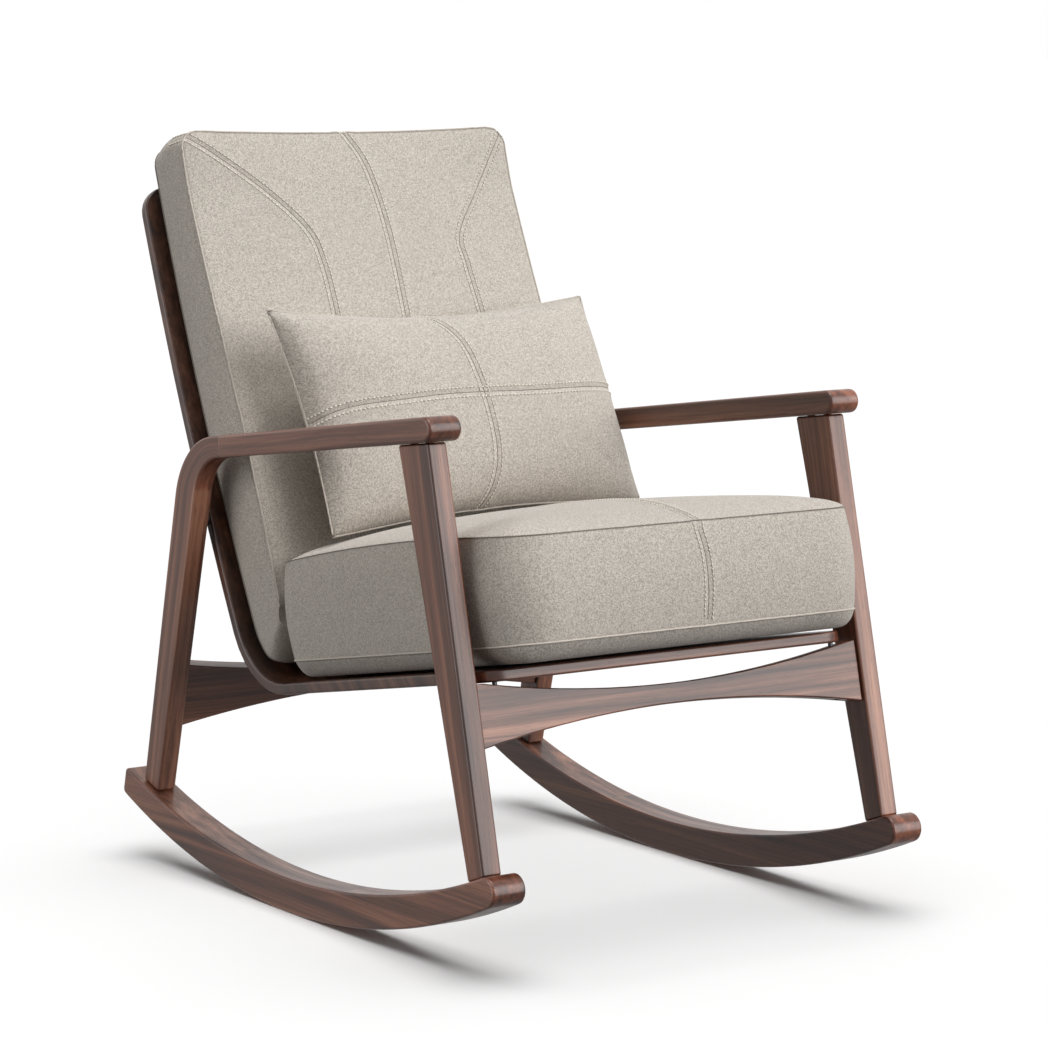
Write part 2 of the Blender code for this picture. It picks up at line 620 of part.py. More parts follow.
bolt_axis = (0, shell_up[0], shell_up[1])
pin_y, pin_z = SHELL_PIN_YZ
leg_face = FRAME_X - LEG_WIDTH / 2
shell_edge = SHELL_WIDTH / 2
for side, sign in SIDES:
    rings = [(BOLT_HEAD / 2, -BOLT_DOWN - HEAD_DEEP), (BOLT_HEAD / 2, -BOLT_DOWN),
             (BOLT_SHANK / 2, -BOLT_DOWN), (BOLT_SHANK / 2, BOLT_UP)]
    turned("shell_bolt_" + side, rings, on_bolt(sign, 0.0), bolt_axis, STEEL)
    sleeve("threaded_insert_" + side, on_bolt(sign, FIT_GAP + INSERT_LONG / 2), bolt_axis,
           INSERT_LONG, INSERT_WIDE, BOLT_SHANK + HOLE_EXTRA, BRASS)
    bore("seat_shell", on_bolt(sign, (INSERT_HOLE_TOP - INSERT_HOLE_LOW) / 2), bolt_axis,
         INSERT_HOLE_TOP + INSERT_HOLE_LOW, INSERT_WIDE + HOLE_EXTRA)
    bore("front_stretcher", on_bolt(sign, SHANK_HOLE_MIDDLE), bolt_axis, SHANK_HOLE_LONG,
         BOLT_SHANK + 2 * HOLE_EXTRA)
    bore("front_stretcher", on_bolt(sign, FIT_GAP - BOLT_DOWN - HEAD_HOLE_LONG / 2), bolt_axis,
         HEAD_HOLE_LONG, BOLT_HEAD + HEAD_HOLE_EXTRA)

    pin_x = sign * (leg_face + shell_edge) / 2
    doweled("shell_pin_" + side, (pin_x, pin_y, pin_z), (1, 0, 0),
            leg_face - shell_edge + 2 * PIN_GRIP, DOWEL, "rear_leg_" + side, "seat_shell", STEEL)
    sleeve("shell_spacer_" + side, (pin_x, pin_y, pin_z), (1, 0, 0),
           leg_face - shell_edge - 2 * FIT_GAP, SPACER_WIDE, DOWEL + HOLE_EXTRA, NYLON)

cut_bores()

# ---- cushions ----------------------------------------------------------------------------
def back_squeeze(s):
    """The foot of the back cushion thins out behind the seat cushion."""
    risen = (s - BACK_REACH[0]) / BACK_FOOT_LONG
    return min(1.0, BACK_FOOT_SHARE + (1 - BACK_FOOT_SHARE) * risen)


SOFT_LOW = SHELL_THICK + CUSHION_CLEAR
shaped_to_shell("seat_cushion", SEAT_REACH, SEAT_HALF, SEAT_CORNER,
                soft_rings(SOFT_LOW, SEAT_THICK, CUSHION_ROUND), 10, FABRIC)
shaped_to_shell("back_cushion", BACK_REACH, BACK_HALF, BACK_CORNER,
                soft_rings(SOFT_LOW, BACK_THICK, CUSHION_ROUND), 16, FABRIC, back_squeeze)


def build_pillow():
    """A soft oblong with a sharp seam all round, thickest in the middle."""
    across_steps, up_steps = 18, 12
    edge_pull, side_pull = 0.035, 0.030
    flatness, fullness = 2.6, 0.55
    up = Vector((0, sin(PILLOW_LEAN), cos(PILLOW_LEAN)))
    out = Vector((0, -cos(PILLOW_LEAN), sin(PILLOW_LEAN)))
    across = Vector((1, 0, 0))
    spin = Matrix.Rotation(-PILLOW_TURN, 3, out)
    up, across = spin @ up, spin @ across
    points, front, rear = [], {}, {}
    for i in range(across_steps + 1):
        for j in range(up_steps + 1):
            a, b = 2 * i / across_steps - 1, 2 * j / up_steps - 1
            wide = PILLOW_HALF_X * a * (1 - side_pull * (1 - b * b) * abs(a) ** 3)
            high = PILLOW_HALF_UP * b * (1 - edge_pull * (1 - a * a) * abs(b) ** 3)
            swell = max(0.0, (1 - abs(a) ** flatness) * (1 - abs(b) ** flatness))
            spot = across * wide + up * high
            full = PILLOW_HALF_THICK * swell ** fullness
            front[i, j] = len(points)
            rear[i, j] = len(points)
            points.append(tuple(spot + out * full))
            if 0 < i < across_steps and 0 < j < up_steps:
                rear[i, j] = len(points)
                points.append(tuple(spot - out * full))
    faces = []
    for i in range(across_steps):
        for j in range(up_steps):
            faces.append((front[i, j], front[i + 1, j], front[i + 1, j + 1], front[i, j + 1]))
            faces.append((rear[i, j], rear[i, j + 1], rear[i + 1, j + 1], rear[i + 1, j]))
    pillow = add_object("lumbar_pillow", points, faces, FABRIC)
    pillow.data.shade_smooth()
    pillow.location = PILLOW_CENTRE


build_pillow()

# ---- one empty on the floor holds the whole chair ------------------------------------------
chair = bpy.data.objects.new("rocking_chair", None)
bpy.context.scene.collection.objects.link(chair)
for piece in list(bpy.data.objects):
    if piece is not chair:
        piece.parent = chair
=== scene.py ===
# %% [markdown]
# # Rocking chair, the looks
#
# The chair is two walnut side frames on rockers, a bent plywood seat shell hung between them, and
# three loose cushions: a boxed seat, a boxed back and a small knife-edge pillow.
#
# The hard shapes come from a imported model, and nothing here moves or resizes them. This file gives
# every piece its surface: sanded wood with grain that follows each stick, and sewn, stuffed cloth.
# Units are metres, +Z is up, the chair faces -Y and X runs across it.

# %% Tools and the imported model
from math import cos, exp, hypot, pi, radians, sin, sqrt, tanh

import bmesh
import bpy
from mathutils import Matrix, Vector
from mathutils.bvhtree import BVHTree
from mathutils.kdtree import KDTree


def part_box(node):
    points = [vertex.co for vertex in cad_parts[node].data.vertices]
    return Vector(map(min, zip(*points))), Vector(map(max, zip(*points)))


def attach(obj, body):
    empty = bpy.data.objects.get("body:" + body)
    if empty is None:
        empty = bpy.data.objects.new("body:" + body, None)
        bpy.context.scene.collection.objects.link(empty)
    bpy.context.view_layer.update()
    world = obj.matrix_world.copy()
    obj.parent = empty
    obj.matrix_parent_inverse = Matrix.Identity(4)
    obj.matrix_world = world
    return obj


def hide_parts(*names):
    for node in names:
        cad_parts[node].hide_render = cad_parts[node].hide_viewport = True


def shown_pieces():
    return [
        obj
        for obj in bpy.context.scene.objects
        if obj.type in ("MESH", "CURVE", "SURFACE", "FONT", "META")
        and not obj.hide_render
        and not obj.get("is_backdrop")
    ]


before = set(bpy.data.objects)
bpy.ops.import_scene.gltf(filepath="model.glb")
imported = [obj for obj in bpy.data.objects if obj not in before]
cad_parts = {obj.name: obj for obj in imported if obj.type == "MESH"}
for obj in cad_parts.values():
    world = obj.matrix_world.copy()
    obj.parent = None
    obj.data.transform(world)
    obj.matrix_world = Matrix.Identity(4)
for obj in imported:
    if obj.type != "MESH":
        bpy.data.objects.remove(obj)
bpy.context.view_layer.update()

# %% [markdown]
# ## The camera
#
# A long lens from well back keeps the rockers and arms nearly parallel, as a catalogue shot does. A
# short lens close up would make the near arm look huge. It stands to the chair's left front, a little
# above the arms, and looks slightly down.

# %% Camera
CAMERA_PLACE = (-2.5154, -3.7198, 1.0350)
CAMERA_TURN = radians(-34.45)
CAMERA_DOWN = radians(7.36)
CAMERA_LENS = 124.2

camera_data = bpy.data.cameras.new("catalogue_camera")
camera_data.lens = CAMERA_LENS
camera_data.sensor_width = 36.0
camera_data.sensor_fit = "HORIZONTAL"
camera = bpy.data.objects.new("catalogue_camera", camera_data)
camera.location = CAMERA_PLACE
camera.rotation_euler = (pi / 2 - CAMERA_DOWN, 0.0, CAMERA_TURN)
bpy.context.scene.collection.objects.link(camera)
bpy.context.scene.camera = camera
print("camera", tuple(round(v, 2) for v in camera.location), "lens", camera_data.lens)

# %% [markdown]
# ## The room
#
# A white sweep that runs out of sight gives no horizon. Broad suns stand in for softboxes: a wide
# angle means a soft edge. The fill comes from above and little from below, so undersides and the
# inner faces between the arms go dark, which is what shows the chair's depth. The floor is lit and
# shaded by a lamp of its own, because the shadow under the rockers should stay short and soft.

# %% Floor, world and lights
FLOOR_HALF = 900.0
FLOOR_COLOUR = (0.90, 0.90, 0.90, 1)
FILL_ABOVE = 0.24
FILL_BELOW = 0.05
MIRRORED_ABOVE = 0.95
MIRRORED_BELOW = 0.45


def add_mesh(name, points, faces):
    """A mesh object in the scene, from plain points and faces."""
    mesh = bpy.data.meshes.new(name)
    mesh.from_pydata([tuple(p) for p in points], [], faces)
    mesh.update()
    made = bpy.data.objects.new(name, mesh)
    bpy.context.scene.collection.objects.link(made)
    return made


def new_material(name):
    """A node material, with its tree and its Principled shader."""
    made = bpy.data.materials.new(name)
    made.use_nodes = True
    return made, made.node_tree, made.node_tree.nodes["Principled BSDF"]


corners = [(-FLOOR_HALF, -FLOOR_HALF, 0), (FLOOR_HALF, -FLOOR_HALF, 0),
           (FLOOR_HALF, FLOOR_HALF, 0), (-FLOOR_HALF, FLOOR_HALF, 0)]
floor = add_mesh("studio_floor", corners, [(0, 1, 2, 3)])
floor_paint, _, floor_shader = new_material("floor_paint")
floor_shader.inputs["Base Color"].default_value = FLOOR_COLOUR
floor_shader.inputs["Roughness"].default_value = 0.7
floor_shader.inputs["Specular IOR Level"].default_value = 0.2
floor.data.materials.append(floor_paint)
floor.visible_diffuse = False
floor.visible_glossy = False
floor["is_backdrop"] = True

world = bpy.data.worlds.new("white_studio")
bpy.context.scene.world = world
world.use_nodes = True
sky_nodes = world.node_tree.nodes
sky_links = world.node_tree.links
way_seen = sky_nodes.new("ShaderNodeTexCoord")
parts_seen = sky_nodes.new("ShaderNodeSeparateXYZ")
sky_links.new(way_seen.outputs["Generated"], parts_seen.inputs[0])


def sky_level(below, above):
    """A strength that climbs from the one below the horizon to the one above it."""
    climb = sky_nodes.new("ShaderNodeMapRange")
    climb.inputs["From Min"].default_value = -0.25
    climb.inputs["From Max"].default_value = 0.25
    climb.inputs["To Min"].default_value = below
    climb.inputs["To Max"].default_value = above
    sky_links.new(parts_seen.outputs["Z"], climb.inputs["Value"])
    return climb.outputs[0]


def sky_choice(test, first, second):
    """Second where the ray passes the test, or else first."""
    pick = sky_nodes.new("ShaderNodeMix")
    sky_links.new(ray.outputs[test], pick.inputs["Factor"])
    sky_links.new(first, pick.inputs["A"])
    if isinstance(second, float):
        pick.inputs["B"].default_value = second
    else:
        sky_links.new(second, pick.inputs["B"])
    return pick.outputs[0]


ray = sky_nodes.new("ShaderNodeLightPath")
sky = sky_nodes["Background"]
sky.inputs["Color"].default_value = (1.0, 1.0, 1.0, 1)
lit_or_mirrored = sky_choice("Is Glossy Ray", sky_level(FILL_BELOW, FILL_ABOVE),
                             sky_level(MIRRORED_BELOW, MIRRORED_ABOVE))
sky_links.new(sky_choice("Is Camera Ray", lit_or_mirrored, 1.0), sky.inputs["Strength"])


def add_sun(name, toward, strength, spread, lights=None, shaded_by=None):
    """A sun whose light travels along toward, with a wide soft disc. It may be kept to one
    collection of objects, and its shadows to those of another."""
    lamp = bpy.data.lights.new(name, "SUN")
    lamp.energy = strength
    lamp.angle = radians(spread)
    held = bpy.data.objects.new(name, lamp)
    held.rotation_euler = Vector(toward).to_track_quat("-Z", "Y").to_euler()
    bpy.context.scene.collection.objects.link(held)
    held.light_linking.receiver_collection = lights
    held.light_linking.blocker_collection = shaded_by


chair_group = bpy.data.collections.new("chair_pieces")
frame_group = bpy.data.collections.new("side_frames")
left_group = bpy.data.collections.new("left_pieces")
floor_group = bpy.data.collections.new("floor_only")
floor_group.objects.link(floor)
add_sun("overhead_softbox", (-0.06, 0.10, -1.0), 1.65, 34, chair_group)
add_sun("front_softbox", (-0.48, 0.82, -0.30), 2.90, 56, chair_group)
add_sun("left_softbox", (0.95, -0.35, -0.12), 1.60, 50, left_group)
add_sun("floor_softbox", (-0.05, 0.03, -1.0), 2.85, 64, floor_group, frame_group)
bpy.context.scene.view_settings.view_transform = "Standard"

# %% [markdown]
# ## Walnut
#
# Each stick is sawn along the board, so its streaks run straight down its length, however it is then
# cut to a curve. The grain therefore needs to know which way the board ran. One node group turns a
# point into board coordinates: along the board, across it, and into its thickness. A bent piece adds
# a bend centre, so that its streaks turn the corner with it. A second group draws the streaks from
# noise squeezed hard across the board, the pores from short dark dashes, and a mask for roughness.

# %% Node helpers and the board coordinate group


def group_with(name, takes, gives):
    """A new shader group. takes and gives are lists of (socket name, socket type, default)."""
    tree = bpy.data.node_groups.new(name, "ShaderNodeTree")
    for way, sockets in (("INPUT", takes), ("OUTPUT", gives)):
        for socket_name, kind, value in sockets:
            made = tree.interface.new_socket(socket_name, in_out=way, socket_type=kind)
            if value is not None:
                made.default_value = value
    return tree, tree.nodes.new("NodeGroupInput"), tree.nodes.new("NodeGroupOutput")


def put(tree, kind, settings=None, **inputs):
    """Adds a node. Inputs are named by socket, and may be a value or another node's output."""
    node = tree.nodes.new(kind)
    for key, value in (settings or {}).items():
        setattr(node, key, value)
    for key, value in inputs.items():
        place = int(key[1:]) if key[0] == "i" and key[1:].isdigit() else key.replace("_", " ")
        socket = node.inputs[place]
        if isinstance(value, bpy.types.NodeSocket):
            tree.links.new(value, socket)
        else:
            socket.default_value = value
    return node


def reckon(tree, operation, first, second=0.0, third=0.0):
    """A Math node's output."""
    return put(tree, "ShaderNodeMath", {"operation": operation}, i0=first, i1=second,
               i2=third).outputs[0]


def vector_sum(tree, operation, first, second):
    """A Vector Math node: its number for a dot product, or else its vector."""
    node = put(tree, "ShaderNodeVectorMath", {"operation": operation}, i0=first, i1=second)
    return node.outputs["Value"] if operation == "DOT_PRODUCT" else node.outputs["Vector"]


NUMBER, VECTOR, COLOUR = "NodeSocketFloat", "NodeSocketVector", "NodeSocketColor"

board, board_in, board_out = group_with(
    "board_coordinates",
    [("Point", VECTOR, None), ("Centre", VECTOR, (0, 0, 0)), ("Lengthwise", VECTOR, (0, 1, 0)),
     ("Across", VECTOR, (0, 0, 1)), ("Depth", VECTOR, (1, 0, 0)), ("Bend Radius", NUMBER, 1.0)],
    [("Board", VECTOR, None)])
from_centre = vector_sum(board, "SUBTRACT", board_in.outputs["Point"], board_in.outputs["Centre"])
lengthwise = vector_sum(board, "DOT_PRODUCT", from_centre, board_in.outputs["Lengthwise"])
sideways = vector_sum(board, "DOT_PRODUCT", from_centre, board_in.outputs["Across"])
inward = vector_sum(board, "DOT_PRODUCT", from_centre, board_in.outputs["Depth"])
past_bend = reckon(board, "MAXIMUM", lengthwise, 0.0)
before_bend = reckon(board, "MINIMUM", lengthwise, 0.0)
turned_by = reckon(board, "ARCTAN2", past_bend, sideways)
round_bend = reckon(board, "MULTIPLY_ADD", turned_by, board_in.outputs["Bend Radius"], before_bend)
squares = reckon(board, "MULTIPLY_ADD", past_bend, past_bend,
                 reckon(board, "MULTIPLY", sideways, sideways))
out_from_bend = reckon(board, "SQRT", squares)
joined = put(board, "ShaderNodeCombineXYZ", X=round_bend, Y=out_from_bend, Z=inward)
board.links.new(joined.outputs[0], board_out.inputs["Board"])
print("group", board.name, "sockets", [s.name for s in board.interface.items_tree])

# %% The walnut grain group
STREAK = 85.0             # streaks to the metre, across the board
BAND = 17.0               # broad light and dark bands to the metre
PORE = 900.0

grain, grain_in, grain_out = group_with(
    "walnut_grain",
    [("Board", VECTOR, None), ("Seed", NUMBER, 0.0)],
    [("Color", COLOUR, None), ("Roughness", NUMBER, None), ("Height", NUMBER, None)])


def squeezed(tree, vector, seed, along, across, detail, rough=0.55):
    """Noise drawn out along the board: along and across are features to the metre."""
    scaled = vector_sum(tree, "MULTIPLY", vector, (along, across, across))
    noise = put(tree, "ShaderNodeTexNoise", None, Vector=vector_sum(tree, "ADD", scaled, seed),
                Scale=1.0, Detail=detail, Roughness=rough)
    return noise.outputs["Fac"]


seed_vector = put(grain, "ShaderNodeCombineXYZ", X=grain_in.outputs["Seed"],
                  Y=grain_in.outputs["Seed"], Z=grain_in.outputs["Seed"]).outputs[0]
waver = squeezed(grain, grain_in.outputs["Board"], seed_vector, 3.0, 9.0, 2.0)
wave_offset = put(grain, "ShaderNodeCombineXYZ", Y=reckon(grain, "MULTIPLY", waver, 0.012))
wavy_board = vector_sum(grain, "ADD", grain_in.outputs["Board"], wave_offset.outputs[0])
streaks = squeezed(grain, wavy_board, seed_vector, 1.6, STREAK, 5.0, 0.62)
bands = squeezed(grain, wavy_board, seed_vector, 0.9, BAND, 2.0)
fibres = squeezed(grain, wavy_board, seed_vector, 9.0, STREAK * 5, 3.0, 0.7)
pores = squeezed(grain, wavy_board, seed_vector, 60.0, PORE, 1.0)

mixed = reckon(grain, "MULTIPLY_ADD", bands, 0.55, reckon(grain, "MULTIPLY", streaks, 0.75))
mixed = reckon(grain, "MULTIPLY_ADD", fibres, 0.22, mixed)
shade = put(grain, "ShaderNodeValToRGB", None, Fac=mixed)
ramp = shade.color_ramp
ramp.elements[0].position = 0.58
ramp.elements[0].color = (0.030, 0.0090, 0.0045, 1)
ramp.elements[1].position = 0.96
ramp.elements[1].color = (0.420, 0.185, 0.110, 1)
for position, colour in ((0.66, (0.078, 0.027, 0.0145, 1)), (0.75, (0.150, 0.056, 0.031, 1)),
                         (0.84, (0.250, 0.104, 0.060, 1))):
    ramp.elements.new(position).color = colour
pore_mask = put(grain, "ShaderNodeMapRange", None, Value=pores, From_Min=0.64, From_Max=0.72)
darkened = put(grain, "ShaderNodeMix", {"data_type": "RGBA"}, Factor=reckon(
    grain, "MULTIPLY", pore_mask.outputs[0], 0.45))
grain.links.new(shade.outputs[0], darkened.inputs[6])
darkened.inputs[7].default_value = (0.016, 0.007, 0.005, 1)
grain.links.new(darkened.outputs[2], grain_out.inputs["Color"])
rough = put(grain, "ShaderNodeMapRange", None, Value=streaks, From_Min=0.3, From_Max=0.7,
            To_Min=0.40, To_Max=0.30)
grain.links.new(rough.outputs[0], grain_out.inputs["Roughness"])
height = reckon(grain, "MULTIPLY_ADD", pore_mask.outputs[0], -0.7, fibres)
grain.links.new(height, grain_out.inputs["Height"])
print("group", grain.name, "nodes", len(grain.nodes))

# %% Walnut material for one stick
# Arrises are darkened and reddened: painted shade where the lacquer's sheen falls away from the
# rounded edge.
ARRIS_SHADE_MARK = "sanded_edge"
ARRIS_SHADE_TINT = (0.78, 0.62, 0.55, 1)
LACQUER = 0.25


def walnut(name, centre, lengthwise, across, depth, seed, bend_radius=1.0, shade_darkening=1.0):
    """Lacquered walnut whose streaks run along lengthwise, from a centre point of the board, with
    painted shade on its arrises. A last argument under 1 darkens the whole piece as painted shade."""
    made, tree, shader = new_material(name)
    place = put(tree, "ShaderNodeTexCoord")
    course = put(tree, "ShaderNodeGroup", {"node_tree": board}, Point=place.outputs["Object"],
                 Centre=centre, Lengthwise=lengthwise, Across=across, Depth=depth,
                 Bend_Radius=bend_radius)
    figure = put(tree, "ShaderNodeGroup", {"node_tree": grain}, Board=course.outputs[0], Seed=seed)
    # Painted shade at the arrises: the marked points are multiplied by a darker, redder tint.
    edge = put(tree, "ShaderNodeAttribute", {"attribute_name": ARRIS_SHADE_MARK})
    arris_shaded = put(tree, "ShaderNodeMix", {"data_type": "RGBA", "blend_type": "MULTIPLY"},
                Factor=edge.outputs["Fac"])
    tree.links.new(figure.outputs["Color"], arris_shaded.inputs[6])
    arris_shaded.inputs[7].default_value = ARRIS_SHADE_TINT
    bump = put(tree, "ShaderNodeBump", None, Height=figure.outputs["Height"], Strength=0.16,
               Distance=0.0006)
    # Painted shade over the whole piece: its colour is multiplied down when the last argument is
    # under 1.
    shade_darkened = put(tree, "ShaderNodeMix", {"data_type": "RGBA", "blend_type": "MULTIPLY"},
                  Factor=1.0)
    tree.links.new(arris_shaded.outputs[2], shade_darkened.inputs[6])
    shade_darkened.inputs[7].default_value = (shade_darkening, shade_darkening, shade_darkening, 1)
    tree.links.new(shade_darkened.outputs[2], shader.inputs["Base Color"])
    tree.links.new(figure.outputs["Roughness"], shader.inputs["Roughness"])
    tree.links.new(bump.outputs[0], shader.inputs["Normal"])
    shader.inputs["Coat Weight"].default_value = LACQUER
    shader.inputs["Coat Roughness"].default_value = 0.22
    shader.inputs["Specular IOR Level"].default_value = 0.45
    return made


# %% [markdown]
# ## Sanding the sticks
#
# The imported solids are made of flat facets. A stick that has been sanded has soft arrises and long
# clean curves, so each wooden piece gets a new skin taken from its solid: corners that touch are
# joined, flat facets are merged into whole faces, and normals are weighted so that broad faces stay
# flat while the arrises roll round. Arrises are marked, and the wood colour is darkened and reddened
# there: painted shade where the sheen falls away from the rounded edge.

# %% Sanded copy of a imported piece
SHARP = radians(42)
JOIN_WITHIN = 1e-5
FLAT_WITHIN = radians(0.35)
BROAD_FACE = 2.5e-4       # square metres; an arris touches only smaller faces


def sanded(node):
    """A smooth-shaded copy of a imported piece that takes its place."""
    work = bmesh.new()
    work.from_mesh(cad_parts[node].data)
    bmesh.ops.remove_doubles(work, verts=work.verts, dist=JOIN_WITHIN)
    bmesh.ops.dissolve_limit(work, angle_limit=FLAT_WITHIN, verts=work.verts, edges=work.edges)
    work.normal_update()
    mesh = bpy.data.meshes.new(node + "_sanded")
    work.to_mesh(mesh)
    # Points that touch only small faces lie on the arrises, where the painted shade goes.
    marks = mesh.attributes.new(ARRIS_SHADE_MARK, "FLOAT", "POINT")
    work.verts.ensure_lookup_table()
    for vert in work.verts:
        broad = max(face.calc_area() for face in vert.link_faces)
        marks.data[vert.index].value = 1.0 if broad < BROAD_FACE else 0.0
    work.free()
    mesh.shade_smooth()
    mesh.set_sharp_from_angle(angle=SHARP)
    made = bpy.data.objects.new(node + "_sanded", mesh)
    bpy.context.scene.collection.objects.link(made)
    weigh = made.modifiers.new("flat_faces_stay_flat", "WEIGHTED_NORMAL")
    weigh.mode = "FACE_AREA"
    weigh.weight = 60
    weigh.keep_sharp = True
    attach(made, "frame")
    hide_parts(node)
    return made


# %% The two side frames and the stretchers
LEG_LEAN = {"front": ((-0.3034, 0.6012), (-0.4140, 0.1235)),
            "rear": ((0.2907, 0.4724), (0.3795, 0.0992))}
ARM_SLOPE = radians(-7.48)
SIDES = (("left", -1), ("right", 1))
FRAME_X = 0.291
LEG_BEND = (0.1752, 0.4620)
LEG_BEND_RADIUS = 0.086


def stick_axes(top, foot):
    """The upward and forward unit vectors of a leg, from its top and foot as (y, z)."""
    up = Vector((0, top[0] - foot[0], top[1] - foot[1])).normalized()
    return up, Vector((0, -up.z, up.y))


for number, (side, sign) in enumerate(SIDES):
    x = sign * FRAME_X
    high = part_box("front_leg_" + side)[1]
    up, ahead = stick_axes(*LEG_LEAN["front"])
    leg = sanded("front_leg_" + side)
    leg.data.materials.append(walnut("walnut_front_leg_" + side, (x, 3.0, high.z + 3.0), up, ahead,
                                     (1, 0, 0), 3.1 + 7.7 * number))
    up, ahead = stick_axes(*LEG_LEAN["rear"])
    leg = sanded("rear_leg_" + side)
    leg.data.materials.append(walnut("walnut_rear_leg_" + side, (x, *LEG_BEND), up, -ahead,
                                     (1, 0, 0), 11.3 + 5.9 * number, LEG_BEND_RADIUS))
    along_arm = Vector((0, cos(ARM_SLOPE), sin(ARM_SLOPE)))
    arm = sanded("armrest_" + side)
    arm.data.materials.append(walnut("walnut_arm_" + side, (x, 5.0, 0.6), along_arm,
                                     (0, -along_arm.z, along_arm.y), (1, 0, 0), 23.9 + 3.3 * number))
    rocker = sanded("rocker_" + side)
    rocker.data.materials.append(walnut("walnut_rocker_" + side, (x, 5.0, 0.05), (0, 1, 0),
                                        (0, 0, 1), (1, 0, 0), 31.7 + 9.1 * number))
for pair, seed in (("front", 41.3), ("rear", 47.9)):
    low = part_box(pair + "_stretcher")[0]
    rail = sanded(pair + "_stretcher")
    rail.data.materials.append(walnut("walnut_%s_stretcher" % pair, (5.0, low.y, low.z), (1, 0, 0),
                                      (0, 0, 1), (0, 1, 0), seed))

# %% [markdown]
# ## The seat shell
#
# Thin sheets of veneer are glued in a mould, so the shell is one bent sheet: nearly flat under the
# seat, a tight curve, and a long back. The face veneer runs up the shell. Its coordinate therefore
# climbs with both depth and height, which follows the bend without needing the mould's own curve.

# %% Shell and hidden hardware
LIPPING_BACK = -0.33      # a strip of solid walnut covers the front edge, up to here
# The veneer is darkened to 0.45 of the walnut: painted shade for a shell that sits in the cushions'
# shadow. The lipping keeps the plain walnut colour.
shell = sanded("seat_shell")
shell.data.materials.append(walnut("walnut_shell_veneer", (0.0, 5.0, 5.0),
                                   (0, 0.7071, 0.7071), (1, 0, 0), (0, 0.7071, -0.7071), 53.3,
                                   shade_darkening=0.45))
shell.data.materials.append(walnut("walnut_front_lipping", (5.0, -0.36, 0.33), (1, 0, 0), (0, 0, 1),
                                   (0, 1, 0), 57.1))
for face in shell.data.polygons:
    if face.center.y < LIPPING_BACK and face.normal.y < -0.3:
        face.material_index = 1


def plain_metal(name, colour, roughness, metallic):
    """Turned metal or moulded plastic with fine scratches in its gloss."""
    made, tree, shader = new_material(name)
    place = put(tree, "ShaderNodeTexCoord")
    scratch = put(tree, "ShaderNodeTexNoise", None, Vector=place.outputs["Object"], Scale=900.0,
                  Detail=3.0)
    gloss = put(tree, "ShaderNodeMapRange", None, Value=scratch.outputs["Fac"],
                To_Min=roughness - 0.08, To_Max=roughness + 0.12)
    tree.links.new(gloss.outputs[0], shader.inputs["Roughness"])
    shader.inputs["Base Color"].default_value = (*colour, 1)
    shader.inputs["Metallic"].default_value = metallic
    return made


HARDWARE = {"shell_bolt": plain_metal("blackened_bolt", (0.08, 0.08, 0.085), 0.40, 1.0),
            "shell_pin": plain_metal("blackened_pin", (0.08, 0.08, 0.085), 0.35, 1.0),
            "threaded_insert": plain_metal("insert_brass", (0.72, 0.52, 0.22), 0.35, 1.0),
            "shell_spacer": plain_metal("black_nylon", (0.03, 0.028, 0.027), 0.5, 0.0),
            "dowel": walnut("beech_dowel", (0, 0, 5.0), (0, 0, 1), (1, 0, 0), (0, 1, 0), 61.0)}
for node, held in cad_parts.items():
    for start, finish in HARDWARE.items():
        if node.startswith(start):
            held.data.materials.clear()
            held.data.materials.append(finish)
print("hardware finishes:", sorted(HARDWARE))

# %% [markdown]
# ## The cloth
#
# The covers are a fine plain weave of pale and dark yarns. Every panel was cut from the roll, so each
# carries a flat pattern in metres, kept as its UV map. The group counts yarns in that pattern, picks
# the tone of each crossing by itself, adds a faint slub along each yarn, and lets warp and weft take
# turns on top.

# %% The basket weave group
CUT = "cut_pattern"
YARN = 0.0011             # from one yarn to the next
SLUBS = 420.0             # slubs to the metre along a yarn
PICKED_SHARE = 0.50       # how much of the tone each crossing picks for itself
WEFT_SHARE = 0.08
CLOUD_SHARE = 0.03
ROUND_SHARE = 0.10

weave, weave_in, weave_out = group_with(
    "basket_weave",
    [("Pattern", VECTOR, None), ("Pale", COLOUR, (0.62, 0.565, 0.49, 1)),
     ("Dark", COLOUR, (0.33, 0.29, 0.245, 1))],
    [("Color", COLOUR, None), ("Height", NUMBER, None)])
drift = put(weave, "ShaderNodeTexNoise", {"noise_dimensions": "2D"}, Scale=40.0, Detail=1.0,
            Vector=weave_in.outputs["Pattern"])
pulled = reckon(weave, "MULTIPLY", drift.outputs["Fac"], YARN)
apart = put(weave, "ShaderNodeSeparateXYZ", None, Vector=weave_in.outputs["Pattern"])
across_yarns = reckon(weave, "DIVIDE", reckon(weave, "ADD", apart.outputs[0], pulled), YARN)
up_yarns = reckon(weave, "DIVIDE", reckon(weave, "ADD", apart.outputs[1], pulled), YARN)


def slubs(yarn_count, length, start):
    """Thickness of each yarn along its own length."""
    number = reckon(weave, "MULTIPLY_ADD", reckon(weave, "FLOOR", yarn_count), 7.31, start)
    place = put(weave, "ShaderNodeCombineXYZ", X=reckon(weave, "MULTIPLY", length, SLUBS), Y=number)
    noise = put(weave, "ShaderNodeTexNoise", {"noise_dimensions": "2D"}, Scale=1.0, Detail=2.0,
                Roughness=0.6, Vector=place.outputs[0])
    return noise.outputs["Fac"]


def roundness(yarn_count):
    """Height of a yarn across its width, from its edges to its crown."""
    return reckon(weave, "SINE", reckon(weave, "MULTIPLY", reckon(weave, "FRACT", yarn_count), pi))


